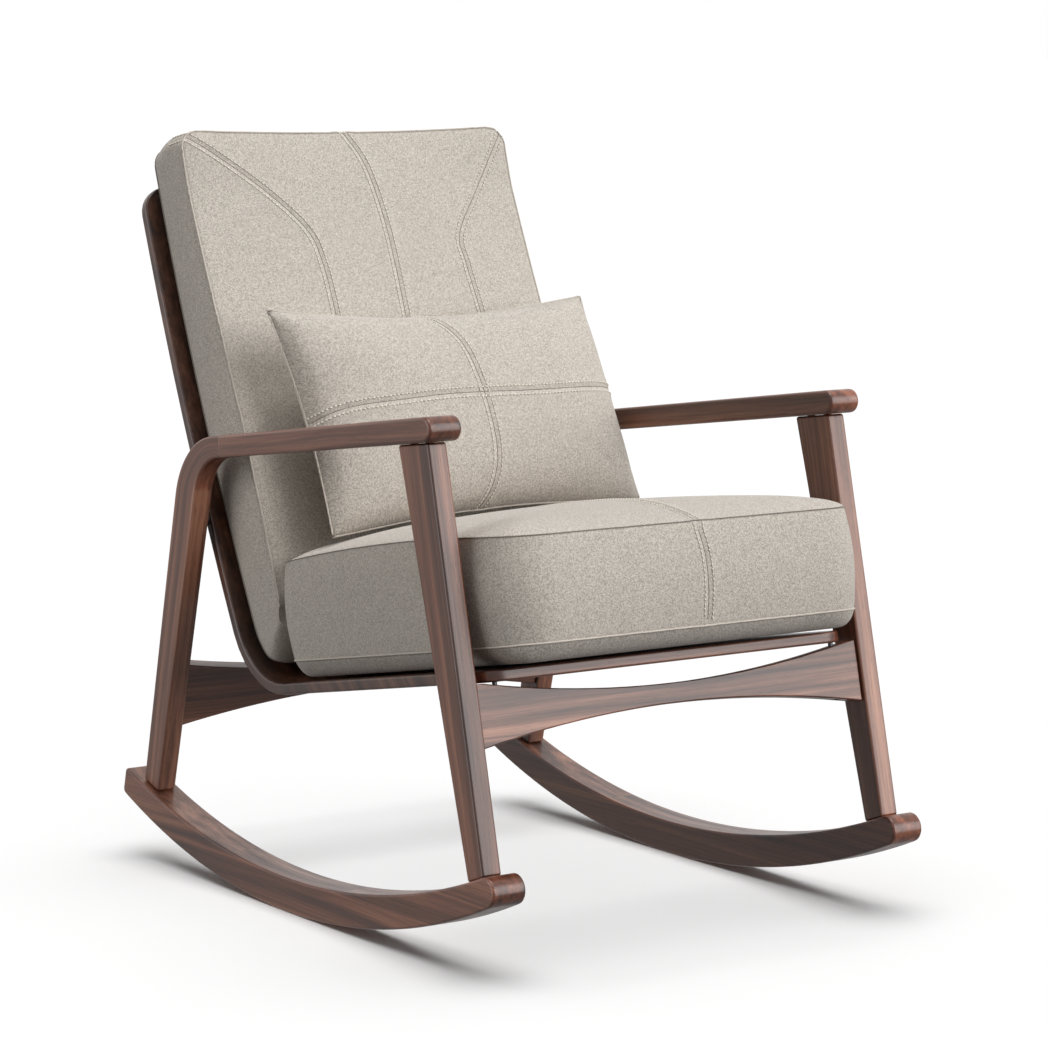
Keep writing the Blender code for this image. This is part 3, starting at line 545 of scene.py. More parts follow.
weft_slubs = slubs(up_yarns, apart.outputs[0], 0.0)
warp_slubs = slubs(across_yarns, apart.outputs[1], 43.0)
turns = reckon(weave, "MULTIPLY",
               reckon(weave, "SINE", reckon(weave, "MULTIPLY", across_yarns, pi)),
               reckon(weave, "SINE", reckon(weave, "MULTIPLY", up_yarns, pi)))
weft_on_top = put(weave, "ShaderNodeMapRange", None, Value=turns, From_Min=-0.35, From_Max=0.35)
crossing = put(weave, "ShaderNodeCombineXYZ", X=reckon(weave, "FLOOR", across_yarns),
               Y=reckon(weave, "FLOOR", up_yarns))
picked = put(weave, "ShaderNodeTexWhiteNoise", {"noise_dimensions": "2D"},
             Vector=crossing.outputs[0])
both_slubs = reckon(weave, "MULTIPLY", reckon(weave, "ADD", weft_slubs, warp_slubs), 0.15)
speckled = reckon(weave, "MULTIPLY_ADD", picked.outputs["Value"], PICKED_SHARE,
                  both_slubs)
on_top = reckon(weave, "MULTIPLY_ADD", weft_on_top.outputs[0], WEFT_SHARE, speckled)
round_top = put(weave, "ShaderNodeMix", None, Factor=weft_on_top.outputs[0],
                A=roundness(across_yarns), B=roundness(up_yarns))
cloud = put(weave, "ShaderNodeTexNoise", {"noise_dimensions": "2D"}, Scale=26.0, Detail=3.0,
            Vector=weave_in.outputs["Pattern"])
yarn = reckon(weave, "MULTIPLY_ADD", cloud.outputs["Fac"], CLOUD_SHARE, on_top)
yarn = reckon(weave, "MULTIPLY_ADD", round_top.outputs[0], ROUND_SHARE, yarn)
tone = put(weave, "ShaderNodeMapRange", None, Value=yarn, From_Min=0.116, From_Max=0.766)
dyed = put(weave, "ShaderNodeMix", {"data_type": "RGBA"}, Factor=tone.outputs[0])
weave.links.new(weave_in.outputs["Dark"], dyed.inputs[6])
weave.links.new(weave_in.outputs["Pale"], dyed.inputs[7])
weave.links.new(dyed.outputs[2], weave_out.inputs["Color"])
weave.links.new(reckon(weave, "ADD", yarn, round_top.outputs[0]), weave_out.inputs["Height"])
print("group", weave.name, "nodes", len(weave.nodes))


# %% Cloth and thread materials
def tweed(name, pale, dark):
    """Tweed for a panel that carries a cut pattern."""
    made, tree, shader = new_material(name)
    flat = put(tree, "ShaderNodeUVMap", {"uv_map": CUT})
    yarns = put(tree, "ShaderNodeGroup", {"node_tree": weave}, Pattern=flat.outputs[0],
                Pale=pale, Dark=dark)
    bump = put(tree, "ShaderNodeBump", None, Height=yarns.outputs["Height"], Strength=0.16,
               Distance=0.0003)
    tree.links.new(yarns.outputs["Color"], shader.inputs["Base Color"])
    tree.links.new(bump.outputs[0], shader.inputs["Normal"])
    shader.inputs["Roughness"].default_value = 0.88
    shader.inputs["Specular IOR Level"].default_value = 0.25
    shader.inputs["Sheen Weight"].default_value = 0.18
    shader.inputs["Sheen Roughness"].default_value = 0.5
    return made


def thread(name, colour):
    """Twisted sewing thread. In a dark colour the same surface makes the painted seam shade."""
    made, tree, shader = new_material(name)
    place = put(tree, "ShaderNodeTexCoord")
    twist = put(tree, "ShaderNodeTexNoise", None, Vector=place.outputs["Object"], Scale=2500.0)
    bump = put(tree, "ShaderNodeBump", None, Height=twist.outputs["Fac"], Strength=0.4,
               Distance=0.0003)
    tree.links.new(bump.outputs[0], shader.inputs["Normal"])
    shader.inputs["Base Color"].default_value = (*colour, 1)
    shader.inputs["Roughness"].default_value = 0.7
    return made


PALE = (0.640, 0.588, 0.524, 1)
DARK = (0.245, 0.215, 0.182, 1)
cover_cloth = tweed("cover_tweed", PALE, DARK)
pillow_cloth = tweed("pillow_tweed", PALE, DARK)
pale_thread = thread("pale_thread", (0.80, 0.75, 0.67))
# Painted seam shade: a dark colour for the tubes laid in each seam valley and under each stitch row,
# where the cloth is only in shade.
seam_shade_paint = thread("seam_fold", (0.22, 0.19, 0.16))
print("cloth:", cover_cloth.name, pillow_cloth.name)

# %% [markdown]
# ## Shape of the shell, for what lies on it
#
# Both boxed cushions are made to the shell, so their patterns follow its path: a distance up the
# path, a distance across the chair, and a height off the plywood.


# %% Path of the shell
SHELL_FRONT = (-0.3655, 0.3315)
SHELL_SLOPE = radians(10.0)
SHELL_STRAIGHT = 0.456
SHELL_BEND_RADIUS = 0.117
SHELL_BEND = radians(72.5)
SHELL_BACK_RADIUS = 4.2


def on_shell(x, s, h):
    """The point x across, s up the path of the shell's under surface, and h off it."""
    bent = min(max(s - SHELL_STRAIGHT, 0.0) / SHELL_BEND_RADIUS, SHELL_BEND)
    straight = min(s, SHELL_STRAIGHT)
    way = bent - SHELL_SLOPE
    y = SHELL_FRONT[0] + straight * cos(SHELL_SLOPE)
    y += SHELL_BEND_RADIUS * (sin(way) + sin(SHELL_SLOPE))
    z = SHELL_FRONT[1] - straight * sin(SHELL_SLOPE)
    z -= SHELL_BEND_RADIUS * (cos(way) - cos(SHELL_SLOPE))
    rest = s - SHELL_STRAIGHT - SHELL_BEND_RADIUS * SHELL_BEND
    if rest > 0:
        last = way + rest / SHELL_BACK_RADIUS
        y += SHELL_BACK_RADIUS * (sin(last) - sin(way))
        z -= SHELL_BACK_RADIUS * (cos(last) - cos(way))
        way = last
    return Vector((x, y - h * sin(way), z + h * cos(way)))


# %% [markdown]
# ## A boxed cushion
#
# A boxed cover is two panels joined by a strip, the boxing, with a seam along each edge. It could be
# carved from one rounded block, but then nothing would be sewn. Here the cover is laid out as its
# real panels, the seams are held, and the cloth between them is blown up by simulation, which crowns
# the panels and rounds the boxing as stuffing does.


# %% Laying out a boxed cover
CROWN_REACH = 0.12        # how far in from the seam the stuffing still lifts the panel
CROWN_POWER = 2.4
BASE_TUCK = 0.028         # how far in from its seam the base comes down on the plywood
BASE_HELD = 0.024
PLY_TOP = 0.0178
STEP = 0.0105


def square_to_panel(u, v, half_x, half_s, corner):
    """Moves a point of the square -1..1 to a rectangle with rounded corners."""
    x, s = u * half_x, v * half_s
    p = (abs(x) - (half_x - corner)) / corner
    q = (abs(s) - (half_s - corner)) / corner
    if p > 0 and q > 0:
        p, q = p * sqrt(1 - q * q / 2), q * sqrt(1 - p * p / 2)
        x = (half_x - corner + corner * p) * (1 if x > 0 else -1)
        s = (half_s - corner + corner * q) * (1 if s > 0 else -1)
    return x, s


def border_of(nx, ns):
    """Grid places round the edge of a panel, in order."""
    way = [(i, 0) for i in range(nx)] + [(nx, j) for j in range(ns)]
    return way + [(i, ns) for i in range(nx, 0, -1)] + [(0, j) for j in range(ns, 0, -1)]


def finished_cover(name, points, faces, pattern, panels, held):
    """The cover's mesh, with its cut pattern, its panel numbers and its held points."""
    made = add_mesh(name, points, faces)
    cut = made.data.uv_layers.new(name=CUT)
    for face, flat in zip(made.data.polygons, pattern):
        for loop, place in zip(face.loop_indices, flat):
            cut.data[loop].uv = place
    which = made.data.attributes.new("panel", "INT", "FACE")
    which.data.foreach_set("value", panels)
    made.vertex_groups.new(name="held").add(held, 1.0, "REPLACE")
    return made


def boxed_cover(name, half_x, reach, corner, high_at, low_at, crown, bulge, drawn_in=0.0):
    """A boxed cover on the shell. high_at and low_at give the seam heights at s, and crown and bulge
    how far the stuffing pushes the top panel and the boxing out before the simulation. The far edge
    is drawn in by drawn_in at its middle. The held points are the seams and the base."""
    middle = (reach[0] + reach[1]) / 2
    half_s = (reach[1] - reach[0]) / 2
    nx, ns = round(2 * half_x / STEP), round(2 * half_s / STEP)
    points, top, base, held = [], {}, {}, []
    spots = {(i, j): square_to_panel(2 * i / nx - 1, 2 * j / ns - 1, half_x, half_s, corner)
             for i in range(nx + 1) for j in range(ns + 1)}
    for (i, j), (x, s) in spots.items():
        spots[i, j] = (x, s - drawn_in * (1 - (x / half_x) ** 2) * max(s / half_s, 0.0) ** 3)
    edge = border_of(nx, ns)
    for panel, seam in ((top, high_at), (base, low_at)):
        for (i, j), (x, s) in spots.items():
            from_edge = min(i, nx - i, j, ns - j) * STEP
            height = seam(middle + s)
            if panel is top:
                height += crown * (1 - (1 - min(from_edge / CROWN_REACH, 1.0)) ** CROWN_POWER)
            else:
                drop = min(from_edge / BASE_TUCK, 1.0)
                height += (PLY_TOP - height) * sin(drop * pi / 2)
            panel[i, j] = len(points)
            if from_edge == 0 or (panel is base and from_edge >= BASE_HELD):
                held.append(len(points))
            points.append(on_shell(x, middle + s, height))
    rows = max(3, round((high_at(middle) - low_at(middle)) / STEP))
    rings = [[top[place] for place in edge]]
    for k in range(1, rows):
        ring = []
        for place in edge:
            x, s = spots[place]
            a, b = high_at(middle + s), low_at(middle + s)
            swell = 1 + bulge * sin(pi * k / rows) / hypot(x, s)
            ring.append(len(points))
            points.append(on_shell(x * swell, middle + s * swell, a + (b - a) * k / rows))
        rings.append(ring)
    rings.append([base[place] for place in edge])

    faces, pattern, panels = [], [], []
    for panel, flip, shift in ((top, False, 0.0), (base, True, 2.0)):
        for i in range(nx):
            for j in range(ns):
                places = [(i, j), (i + 1, j), (i + 1, j + 1), (i, j + 1)]
                if flip:
                    places.reverse()
                faces.append([panel[p] for p in places])
                pattern.append([(spots[p][0] + shift, spots[p][1]) for p in places])
                panels.append(1 if flip else 0)
    walked = [0.0]
    for a, b in zip(edge, edge[1:] + edge[:1]):
        walked.append(walked[-1] + hypot(spots[a][0] - spots[b][0], spots[a][1] - spots[b][1]))
    for k in range(rows):
        for n in range(len(edge)):
            m = (n + 1) % len(edge)
            faces.append([rings[k][n], rings[k + 1][n], rings[k + 1][m], rings[k][m]])
            a, b = 4.0 - k * STEP, 4.0 - (k + 1) * STEP
            pattern.append([(walked[n], a), (walked[n], b), (walked[n + 1], b), (walked[n + 1], a)])
            panels.append(2)
    return finished_cover(name, points, faces, pattern, panels, held), [rings[0], rings[-1]]


# %% Filling a cover by simulation
def filled(cover, pressure, cap, stiff, frames=20):
    """Blows the cover up between its held points. No point moves further than about cap."""
    scene = bpy.context.scene
    start = [v.co.copy() for v in cover.data.vertices]
    cloth = cover.modifiers.new("stuffing", "CLOTH")
    settings = cloth.settings
    settings.quality = 6
    settings.mass = 0.25
    settings.tension_stiffness = stiff
    settings.compression_stiffness = stiff
    settings.shear_stiffness = stiff / 3
    settings.bending_stiffness = 0.6
    settings.use_pressure = True
    settings.uniform_pressure_force = pressure
    settings.effector_weights.gravity = 0.0
    settings.vertex_group_mass = "held"
    cloth.point_cache.frame_start = 1
    cloth.point_cache.frame_end = frames
    for number in range(1, frames + 1):
        scene.frame_set(number)
    blown = cover.evaluated_get(bpy.context.evaluated_depsgraph_get()).to_mesh()
    ends = [v.co.copy() for v in blown.vertices]
    cover.evaluated_get(bpy.context.evaluated_depsgraph_get()).to_mesh_clear()
    cover.modifiers.remove(cloth)
    scene.frame_set(1)
    furthest = 0.0
    for vert, a, b in zip(cover.data.vertices, start, ends):
        move = b - a
        if move.length > 1e-9:
            vert.co = a + move * (cap * tanh(move.length / cap) / move.length)
        furthest = max(furthest, (vert.co - a).length)
    cover.data.update()
    print("  stuffed", cover.name, "furthest move", round(furthest * 1000, 1), "mm")


def stuffed(cover, pressure, cap, stiff=15.0):
    """Fills a cover by simulation."""
    filled(cover, pressure, cap, stiff)


# %% Seat cushion
SEAT_HALF = 0.2605
SEAT_REACH = (-0.0625, 0.478)
SEAT_SEAM_HIGH = 0.1585
SEAT_SEAM_BOW = 0.0120


def seat_high(s):
    """Height of the top seam, which bows up in the middle of the seat."""
    bow = 1 - ((s - 0.20) / 0.30) ** 2
    return SEAT_SEAM_HIGH + SEAT_SEAM_BOW * max(bow, -0.1)


def seat_low(s):
    """Height of the lower seam."""
    return 0.040 + 0.004 * (s - 0.2)


seat_cover, seat_seams = boxed_cover("seat_cushion_cover", SEAT_HALF, SEAT_REACH, 0.064,
                                     seat_high, seat_low, crown=0.020, bulge=0.006)
stuffed(seat_cover, pressure=4.0, cap=0.030)
seat_cover.data.materials.append(cover_cloth)

# %% Back cushion
BACK_HALF = 0.2485
BACK_REACH = (0.518, 1.252)
BACK_SEAM_LOW = 0.026
BACK_SEAM_HEIGHTS = ((0.50, 0.071), (0.62, 0.100), (0.72, 0.109), (0.84, 0.1145), (0.98, 0.110),
                     (1.17, 0.099), (1.25, 0.103))


def back_high(s):
    """Height of the front seam, read from the table."""
    for (s0, h0), (s1, h1) in zip(BACK_SEAM_HEIGHTS, BACK_SEAM_HEIGHTS[1:]):
        if s <= s1:
            break
    return h0 + (h1 - h0) * min((s - s0) / (s1 - s0), 1.0)


back_cover, back_seams = boxed_cover("back_cushion_cover", BACK_HALF, BACK_REACH, 0.026,
                                     back_high, lambda s: BACK_SEAM_LOW, crown=0.008,
                                     bulge=0.007, drawn_in=0.006)
stuffed(back_cover, pressure=4.0, cap=0.024)
back_cover.data.materials.append(cover_cloth)


# %% Softening a cover and finding its surface
def softened(cover):
    """Subdivides the cover, keeping the seams where the panels meet as creases."""
    mesh = cover.data
    panel = [0] * len(mesh.polygons)
    mesh.attributes["panel"].data.foreach_get("value", panel)
    meets = {}
    for face in mesh.polygons:
        for key in face.edge_keys:
            meets.setdefault(key, set()).add(panel[face.index])
    crease = mesh.attributes.new("crease_edge", "FLOAT", "EDGE")
    for line in mesh.edges:
        if len(meets[line.key]) > 1:
            crease.data[line.index].value = 0.9
    fine = cover.modifiers.new("soft_cloth", "SUBSURF")
    fine.levels = 1
    fine.render_levels = 1
    fine.uv_smooth = "NONE"
    settled = cover.evaluated_get(bpy.context.evaluated_depsgraph_get())
    smooth = bpy.data.meshes.new_from_object(settled, preserve_all_data_layers=True,
                                             depsgraph=bpy.context.evaluated_depsgraph_get())
    cover.modifiers.clear()
    cover.data = smooth
    smooth.shade_smooth()


# %% Pillow cover
PILLOW_CENTRE = Vector((0.010, 0.1170, 0.5840))
PILLOW_LEAN = radians(22.8)
PILLOW_PUFF = 0.050
TOP_DRAWN_IN = 0.016       # stuffing draws the edges in between the corners
SIDE_DRAWN_IN = 0.008
PILLOW_CORNERS = ((-0.219, -0.149), (0.255, -0.133), (0.236, 0.150), (-0.243, 0.150))

lean_up = Vector((0, sin(PILLOW_LEAN), cos(PILLOW_LEAN)))
lean_out = Vector((0, -cos(PILLOW_LEAN), sin(PILLOW_LEAN)))


def on_pillow(a, b):
    """Flat place of a pillow point, with a and b from -1 to 1 between the four corners."""
    low_left, low_right, high_right, high_left = (Vector(c) for c in PILLOW_CORNERS)
    low = low_left.lerp(low_right, (a + 1) / 2)
    high = high_left.lerp(high_right, (a + 1) / 2)
    spot = low.lerp(high, (b + 1) / 2)
    spot.y -= TOP_DRAWN_IN * (1 - a * a) * ((1 + b) / 2) ** 3
    spot.y += SIDE_DRAWN_IN * (1 - a * a) * ((1 - b) / 2) ** 3
    spot.x += SIDE_DRAWN_IN * (1 - b * b) * ((1 - a) / 2) ** 3
    return spot


def pillow_cover(name, nx, nu):
    """Two panels sewn round their edge, laid out nearly flat and leaning on the back cushion."""
    points, front, rear, faces, pattern = [], {}, {}, [], []
    for i in range(nx + 1):
        for j in range(nu + 1):
            a, b = 2 * i / nx - 1, 2 * j / nu - 1
            flat = on_pillow(a, b)
            spot = PILLOW_CENTRE + Vector((flat.x, 0, 0)) + lean_up * flat.y
            full = PILLOW_PUFF * ((1 - a ** 4) * (1 - b ** 4)) ** 0.5
            front[i, j] = len(points)
            points.append(spot + lean_out * full)
            rear[i, j] = front[i, j]
            if 0 < i < nx and 0 < j < nu:
                rear[i, j] = len(points)
                points.append(spot - lean_out * full)
    for i in range(nx):
        for j in range(nu):
            places = [(i, j), (i + 1, j), (i + 1, j + 1), (i, j + 1)]
            for side, shift, order in ((front, 0.0, 1), (rear, 1.0, -1)):
                faces.append([side[p] for p in places[::order]])
                pattern.append([on_pillow(2 * p[0] / nx - 1, 2 * p[1] / nu - 1)
                                + Vector((shift, 0)) for p in places[::order]])
    held = [front[i, j] for i in (0, nx) for j in (0, nu)]
    made = finished_cover(name, points, faces, pattern, [n % 2 for n in range(len(faces))], held)
    return made, [[front[place] for place in border_of(nx, nu)]]


pillow, pillow_seams = pillow_cover("lumbar_pillow_cover", 46, 28)
stuffed(pillow, pressure=7.0, cap=0.050, stiff=12.0)
pillow.data.materials.append(pillow_cloth)

# %% Softening the covers
for cover in (seat_cover, back_cover, pillow):
    softened(cover)
print("covers:", [len(c.data.vertices) for c in (seat_cover, back_cover, pillow)], "points")


# %% [markdown]
# ## Keeping soft things apart
#
# A pillow that leans on a cushion is pushed back by it. Each of its points that comes too near the
# other cover is moved out along that cover's surface, so the two press together without crossing.


# %% Contact between covers
def surface_of(piece):
    """A quick finder for the nearest place on a piece."""
    mesh = piece.data
    return BVHTree.FromPolygons([v.co for v in mesh.vertices],
                                [p.vertices for p in mesh.polygons])


def kept_off(piece, neighbour, gap):
    """Moves the points of a piece that are closer to a neighbour than the gap, or inside it."""
    finder = surface_of(neighbour)
    moved = 0
    for vert in piece.data.vertices:
        spot, normal, _, away = finder.find_nearest(vert.co, 0.06)
        if spot is None:
            continue
        clear = (vert.co - spot).dot(normal)
        if clear < 0 or away < gap:
            vert.co += normal * (gap - clear)
            moved += 1
    piece.data.update()
    print("  ", piece.name, "pressed by", neighbour.name, "at", moved, "points")


PILLOW_GAP = 0.0015
CUSHION_GAP = 0.0010
kept_off(pillow, back_cover, PILLOW_GAP)
kept_off(pillow, seat_cover, PILLOW_GAP)
kept_off(back_cover, seat_cover, CUSHION_GAP)


# %% [markdown]
# ## Seams and topstitching
#
# A flat-felled seam is a sharp valley where two panels turn down, with a row of stitches each side
# that holds the turned edges flat. A bump map could draw the line, but it would vanish edge on. So
# the cloth near each seam is divided finely and pressed into a valley, a thin dark tube of painted
# shade runs along the bottom, another runs under each row of stitches, and every stitch is its own
# short loop of thread that dips into the cloth at both ends.


# %% Routes on the cloth
STITCH_OFFSET = 0.0062
STITCH_LONG = 0.0032
STITCH_EVERY = 0.0056
STITCH_STEP = 0.0008
THREAD = 0.00085
VALLEY_DEEP = 0.0006
VALLEY_WIDE = 0.0018
SWELL_HIGH = 0.0007       # the cloth stands up a little beside a seam
SWELL_AWAY = 0.0085
SWELL_WIDE = 0.0045
FINE_NEAR = (0.011, 0.007)
# Radii of the dark tubes of painted shade along each seam and beside each row of stitches.
SEAM_SHADE_RADIUS = 0.00055
ROW_SHADE_RADIUS = 0.00060
SPACING = 0.002


def evenly(points, spacing, closed=False):
    """The same path with points at equal distances."""
    path = [Vector(p) for p in points] + ([Vector(points[0])] if closed else [])
    lengths = [(b - a).length for a, b in zip(path, path[1:])]
    count = max(2, round(sum(lengths) / spacing))
    step = sum(lengths) / count
    made, piece, walked = [], 0, 0.0
    for n in range(count if closed else count + 1):
        want = min(n * step, sum(lengths) - 1e-9)
        while walked + lengths[piece] < want:
            walked += lengths[piece]
            piece += 1
        made.append(path[piece].lerp(path[piece + 1], (want - walked) / lengths[piece]))
    return made


def curve_through(points, steps=12):
    """A smooth curve through a few given points."""
    path = [2 * Vector(points[0]) - Vector(points[1])] + [Vector(p) for p in points]
    path.append(2 * path[-1] - path[-2])
    made = []
    for a, b, c, d in zip(path, path[1:], path[2:], path[3:]):
        for n in range(steps):
            t = n / steps
            made.append(0.5 * ((2 * b) + (c - a) * t + (2 * a - 5 * b + 4 * c - d) * t * t
                               + (3 * b - a - 3 * c + d) * t * t * t))
    made.append(path[-2])
    return made


def laid_on(finder, points, way):
    """Drops points onto a cover along a direction. Gives (place, normal) pairs."""
    way = Vector(way).normalized()
    made = []
    for point in points:
        spot, normal, _, _ = finder.ray_cast(point - way * 0.12, way)
        if spot is not None:
            made.append((spot, normal))
    return made


# %% Valley, painted seam shade and stitches
def pressed_valleys(cover, routes):
    """Divides the cloth finely near the routes and presses a valley along each."""
    near = KDTree(sum(len(r) for r in routes))
    count = 0
    for route in routes:
        for spot, _ in route:
            near.insert(spot, count)
            count += 1
    near.balance()
    work = bmesh.new()
    work.from_mesh(cover.data)
    for reach in FINE_NEAR:
        close = {v for v in work.verts if near.find(v.co)[2] < reach}
        lines = [e for e in work.edges if e.verts[0] in close and e.verts[1] in close]
        bmesh.ops.subdivide_edges(work, edges=lines, cuts=1, use_grid_fill=True)
    work.normal_update()
    moves = []
    for vert in work.verts:
        away = near.find(vert.co)[2]
        if away < 0.02:
            dip = -VALLEY_DEEP * exp(-(away / VALLEY_WIDE) ** 2)
            swell = SWELL_HIGH * exp(-((away - SWELL_AWAY) / SWELL_WIDE) ** 2)
            moves.append((vert, vert.normal * (dip + swell)))
    for vert, move in moves:
        vert.co += move
    work.to_mesh(cover.data)
    work.free()
    cover.data.shade_smooth()


def tubes(name, runs, radius, sides=6, closed=False, finish=None):
    """One mesh of round tubes. A run is a list of (place, normal); radius may taper at its ends."""
    points, faces = [], []
    for run in runs:
        start = len(points)
        total = len(run)
        for n, (spot, normal) in enumerate(run):
            ahead = run[(n + 1) % total][0] if closed or n + 1 < total else spot
            behind = run[n - 1][0] if closed or n > 0 else spot
            way = (ahead - behind).normalized()
            side = way.cross(normal).normalized()
            rise = side.cross(way)
            thick = radius if closed or 0 < n < total - 1 else radius * 0.55
            for k in range(sides):
                turn = 2 * pi * k / sides
                points.append(spot + (side * cos(turn) + rise * sin(turn)) * thick)
        for n in range(total if closed else total - 1):
            a, b = start + n * sides, start + (n + 1) % total * sides
            for k in range(sides):
                m = (k + 1) % sides
                faces.append((a + k, a + m, b + m, b + k))
        if not closed:
            faces.append(tuple(range(start, start + sides)))
            faces.append(tuple(reversed(range(len(points) - sides, len(points)))))
    made = add_mesh(name, points, faces)
    work = bmesh.new()
    work.from_mesh(made.data)
    bmesh.ops.recalc_face_normals(work, faces=work.faces)
    work.to_mesh(made.data)
    work.free()
    made.data.shade_smooth()
    made.data.materials.append(finish)
    return made


def row_beside(finder, route, offset):
    """A row of (place, normal) pairs on the cloth, at an offset to one side of a route."""
    beside = []
    for n, (spot, normal) in enumerate(route):
        ahead = route[min(n + 1, len(route) - 1)][0]
        behind = route[max(n - 1, 0)][0]
        side = (ahead - behind).cross(normal).normalized()
        beside.append(spot + side * offset)
    row = []
    for point in evenly(beside, STITCH_STEP):
        spot, normal, _, _ = finder.find_nearest(point, 0.02)
        if spot is not None:
            row.append((spot, normal))
    return row


def stitches_on(row):
    """Short thread loops that follow a row and dip into the cloth at both ends."""
    keep, every = round(STITCH_LONG / STITCH_STEP), round(STITCH_EVERY / STITCH_STEP)
    runs = []
    for first in range(0, len(row) - keep, every):
        loop = row[first:first + keep + 1]
        runs.append([(spot + normal * THREAD * (1.7 * sin(pi * n / keep) ** 0.5 - 0.7), normal)
                     for n, (spot, normal) in enumerate(loop)])
    return runs


def sewn(cover, name, routes, body):
    """Presses the seams of one cover, then lays their painted seam shade, the painted shade under the
    stitch rows, and the stitches.
    """
    pressed_valleys(cover, routes)
    finder = surface_of(cover)
    # The seam tubes and the row tubes are dark painted shade; only the stitches are thread.
    seam_shade_runs, row_shade_runs, stitches = [], [], []
    for route in routes:
        seam_shade_runs.append([(finder.find_nearest(spot, 0.02)[0], normal) for spot, normal in route])
        for offset in (-STITCH_OFFSET, STITCH_OFFSET):
            row = row_beside(finder, route, offset)
            row_shade_runs.append([(spot - normal * ROW_SHADE_RADIUS * 0.6, normal) for spot, normal in row])
            stitches += stitches_on(row)
    for piece in (tubes(name + "_seam_folds", seam_shade_runs, SEAM_SHADE_RADIUS, finish=seam_shade_paint),
                  tubes(name + "_needle_line", row_shade_runs, ROW_SHADE_RADIUS, finish=seam_shade_paint),
                  tubes(name + "_topstitching", stitches, THREAD, finish=pale_thread)):
        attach(piece, body)
    print("  ", name, "stitches", len(stitches))


# %% Seams of the seat cushion
SEAT_TOP_SEAM = ((0.020, 0.440), (0.018, 0.200), (0.014, 0.060), (0.008, -0.020), (0.006, -0.056))
SEAT_FRONT_SEAM = ((0.006, 0.150), (0.010, 0.120), (0.010, 0.085), (0.007, 0.046))
finder = surface_of(seat_cover)
seat_down = on_shell(0, 0.2, 0) - on_shell(0, 0.2, 1)
seat_back = Vector((0, cos(SHELL_SLOPE), -sin(SHELL_SLOPE)))
top_run = curve_through([(x, s, 0) for x, s in SEAT_TOP_SEAM])
front_run = curve_through([(x, h, 0) for x, h in SEAT_FRONT_SEAM])
over_top = laid_on(finder, evenly([on_shell(p.x, p.y, 0.17) for p in top_run], SPACING), seat_down)
down_front = laid_on(finder, evenly([on_shell(p.x, SEAT_REACH[0], p.y) for p in front_run], SPACING),
                     seat_back)
seat_route = [over_top + down_front]

# %% Seams of the back cushion
BACK_SEAMS = (((-0.247, 1.250), (-0.205, 1.220), (-0.147, 1.169), (-0.097, 1.108), (-0.085, 1.057),
               (-0.084, 0.981), (-0.086, 0.850), (-0.088, 0.700)),
              ((-0.008, 1.256), (0.014, 1.202), (0.023, 1.122), (0.023, 1.044), (0.020, 0.971),
               (0.016, 0.850), (0.014, 0.700)),
              ((0.247, 1.250), (0.189, 1.167), (0.139, 1.097), (0.137, 1.050), (0.141, 0.976),
               (0.145, 0.850), (0.147, 0.700)))
finder = surface_of(back_cover)
back_down = on_shell(0, 1.0, 0) - on_shell(0, 1.0, 1)
back_routes = []
for seam in BACK_SEAMS:
    above = [on_shell(p.x, p.y, 0.15) for p in curve_through([(x, s, 0) for x, s in seam])]
    back_routes.append(laid_on(finder, evenly(above, SPACING), back_down))

# %% Seams of the pillow
PILLOW_DOWN = ((-0.030, 0.128), (-0.019, 0.110), (-0.001, 0.075), (0.009, 0.019), (0.0135, -0.041),
               (0.0125, -0.079), (0.0045, -0.115), (-0.003, -0.145))
PILLOW_ACROSS = ((-0.234, -0.006), (-0.185, 0.005), (-0.112, 0.007), (-0.054, 0.009), (0.006, 0.009),
                 (0.100, 0.008), (0.211, 0.013), (0.245, 0.013))
finder = surface_of(pillow)
pillow_routes = []
for seam in (PILLOW_DOWN, PILLOW_ACROSS):
    above = [PILLOW_CENTRE + Vector((p.x, 0, 0)) + lean_up * p.y + lean_out * 0.1
             for p in curve_through([(x, u, 0) for x, u in seam])]
    pillow_routes.append(laid_on(finder, evenly(above, SPACING), -lean_out))

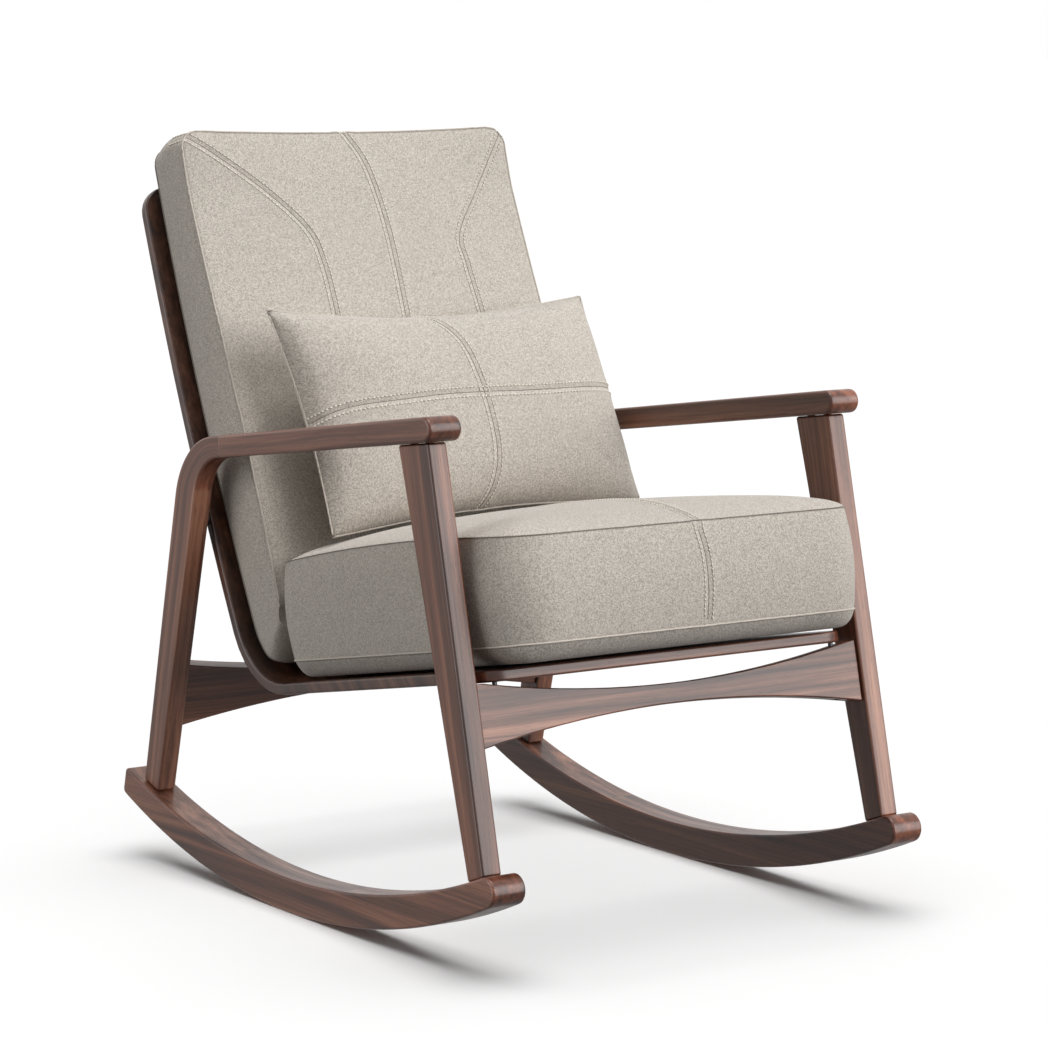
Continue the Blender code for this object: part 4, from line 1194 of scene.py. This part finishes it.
# %% Sewing the three covers
sewn(seat_cover, "seat_cushion", seat_route, "seat_cushion")
sewn(back_cover, "back_cushion", back_routes, "back_cushion")
sewn(pillow, "lumbar_pillow", pillow_routes, "lumbar_pillow")


# %% Edge seams
WELT_STEP = 0.004


def edge_welt(cover, ring, name, radius, finish):
    """A slim welt along one seam where two panels of a cover meet, in the finish given: the pale welt
    cloth with its painted highlight, or the dark painted seam shade.
    """
    spots = [cover.data.vertices[n].co.copy() for n in ring]
    finder = surface_of(cover)
    run = []
    for point in evenly(curve_through(spots + spots[:1], 4)[:-1], WELT_STEP, closed=True):
        normal = finder.find_nearest(point, 0.02)[1]
        run.append((point + normal * radius * 0.25, normal))
    return tubes(name + "_edge_seam", [run], radius, closed=True, finish=finish)


# The welt is paler than the cloth around it: a painted highlight along the seam.
welt_cloth = thread("welt_cloth", (0.54, 0.49, 0.43))
# The top seam of the seat and the rear seam of the back are dark painted seam shade; the others are
# pale welts with a painted highlight.
for cover, ring, body, place, radius, finish, slot in (
        (seat_cover, seat_seams[0], "seat_cushion", "_top", 0.0008, seam_shade_paint, "cushion_fabric"),
        (seat_cover, seat_seams[1], "seat_cushion", "_low", 0.0012, welt_cloth, "cushion_fabric"),
        (back_cover, back_seams[0], "back_cushion", "_front", 0.0012, welt_cloth, "cushion_fabric"),
        (back_cover, back_seams[1], "back_cushion", "_rear", 0.0011, seam_shade_paint, "cushion_fabric"),
        (pillow, pillow_seams[0], "lumbar_pillow", "", 0.0012, welt_cloth, "pillow_fabric")):
    welt = edge_welt(cover, ring, body + place, radius, finish)
    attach(welt, body)

for cover, node, slot, fill in ((seat_cover, "seat_cushion", "cushion_fabric", 0.8),
                                (back_cover, "back_cushion", "cushion_fabric", 0.75),
                                (pillow, "lumbar_pillow", "pillow_fabric", 0.65)):
    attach(cover, node)
    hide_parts(node)

# %% Which pieces the lamps light and which shade the floor
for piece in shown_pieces():
    chair_group.objects.link(piece)
    if "_right" not in piece.name:
        left_group.objects.link(piece)
    if any(word in piece.name for word in ("rocker", "leg", "stretcher")):
        frame_group.objects.link(piece)
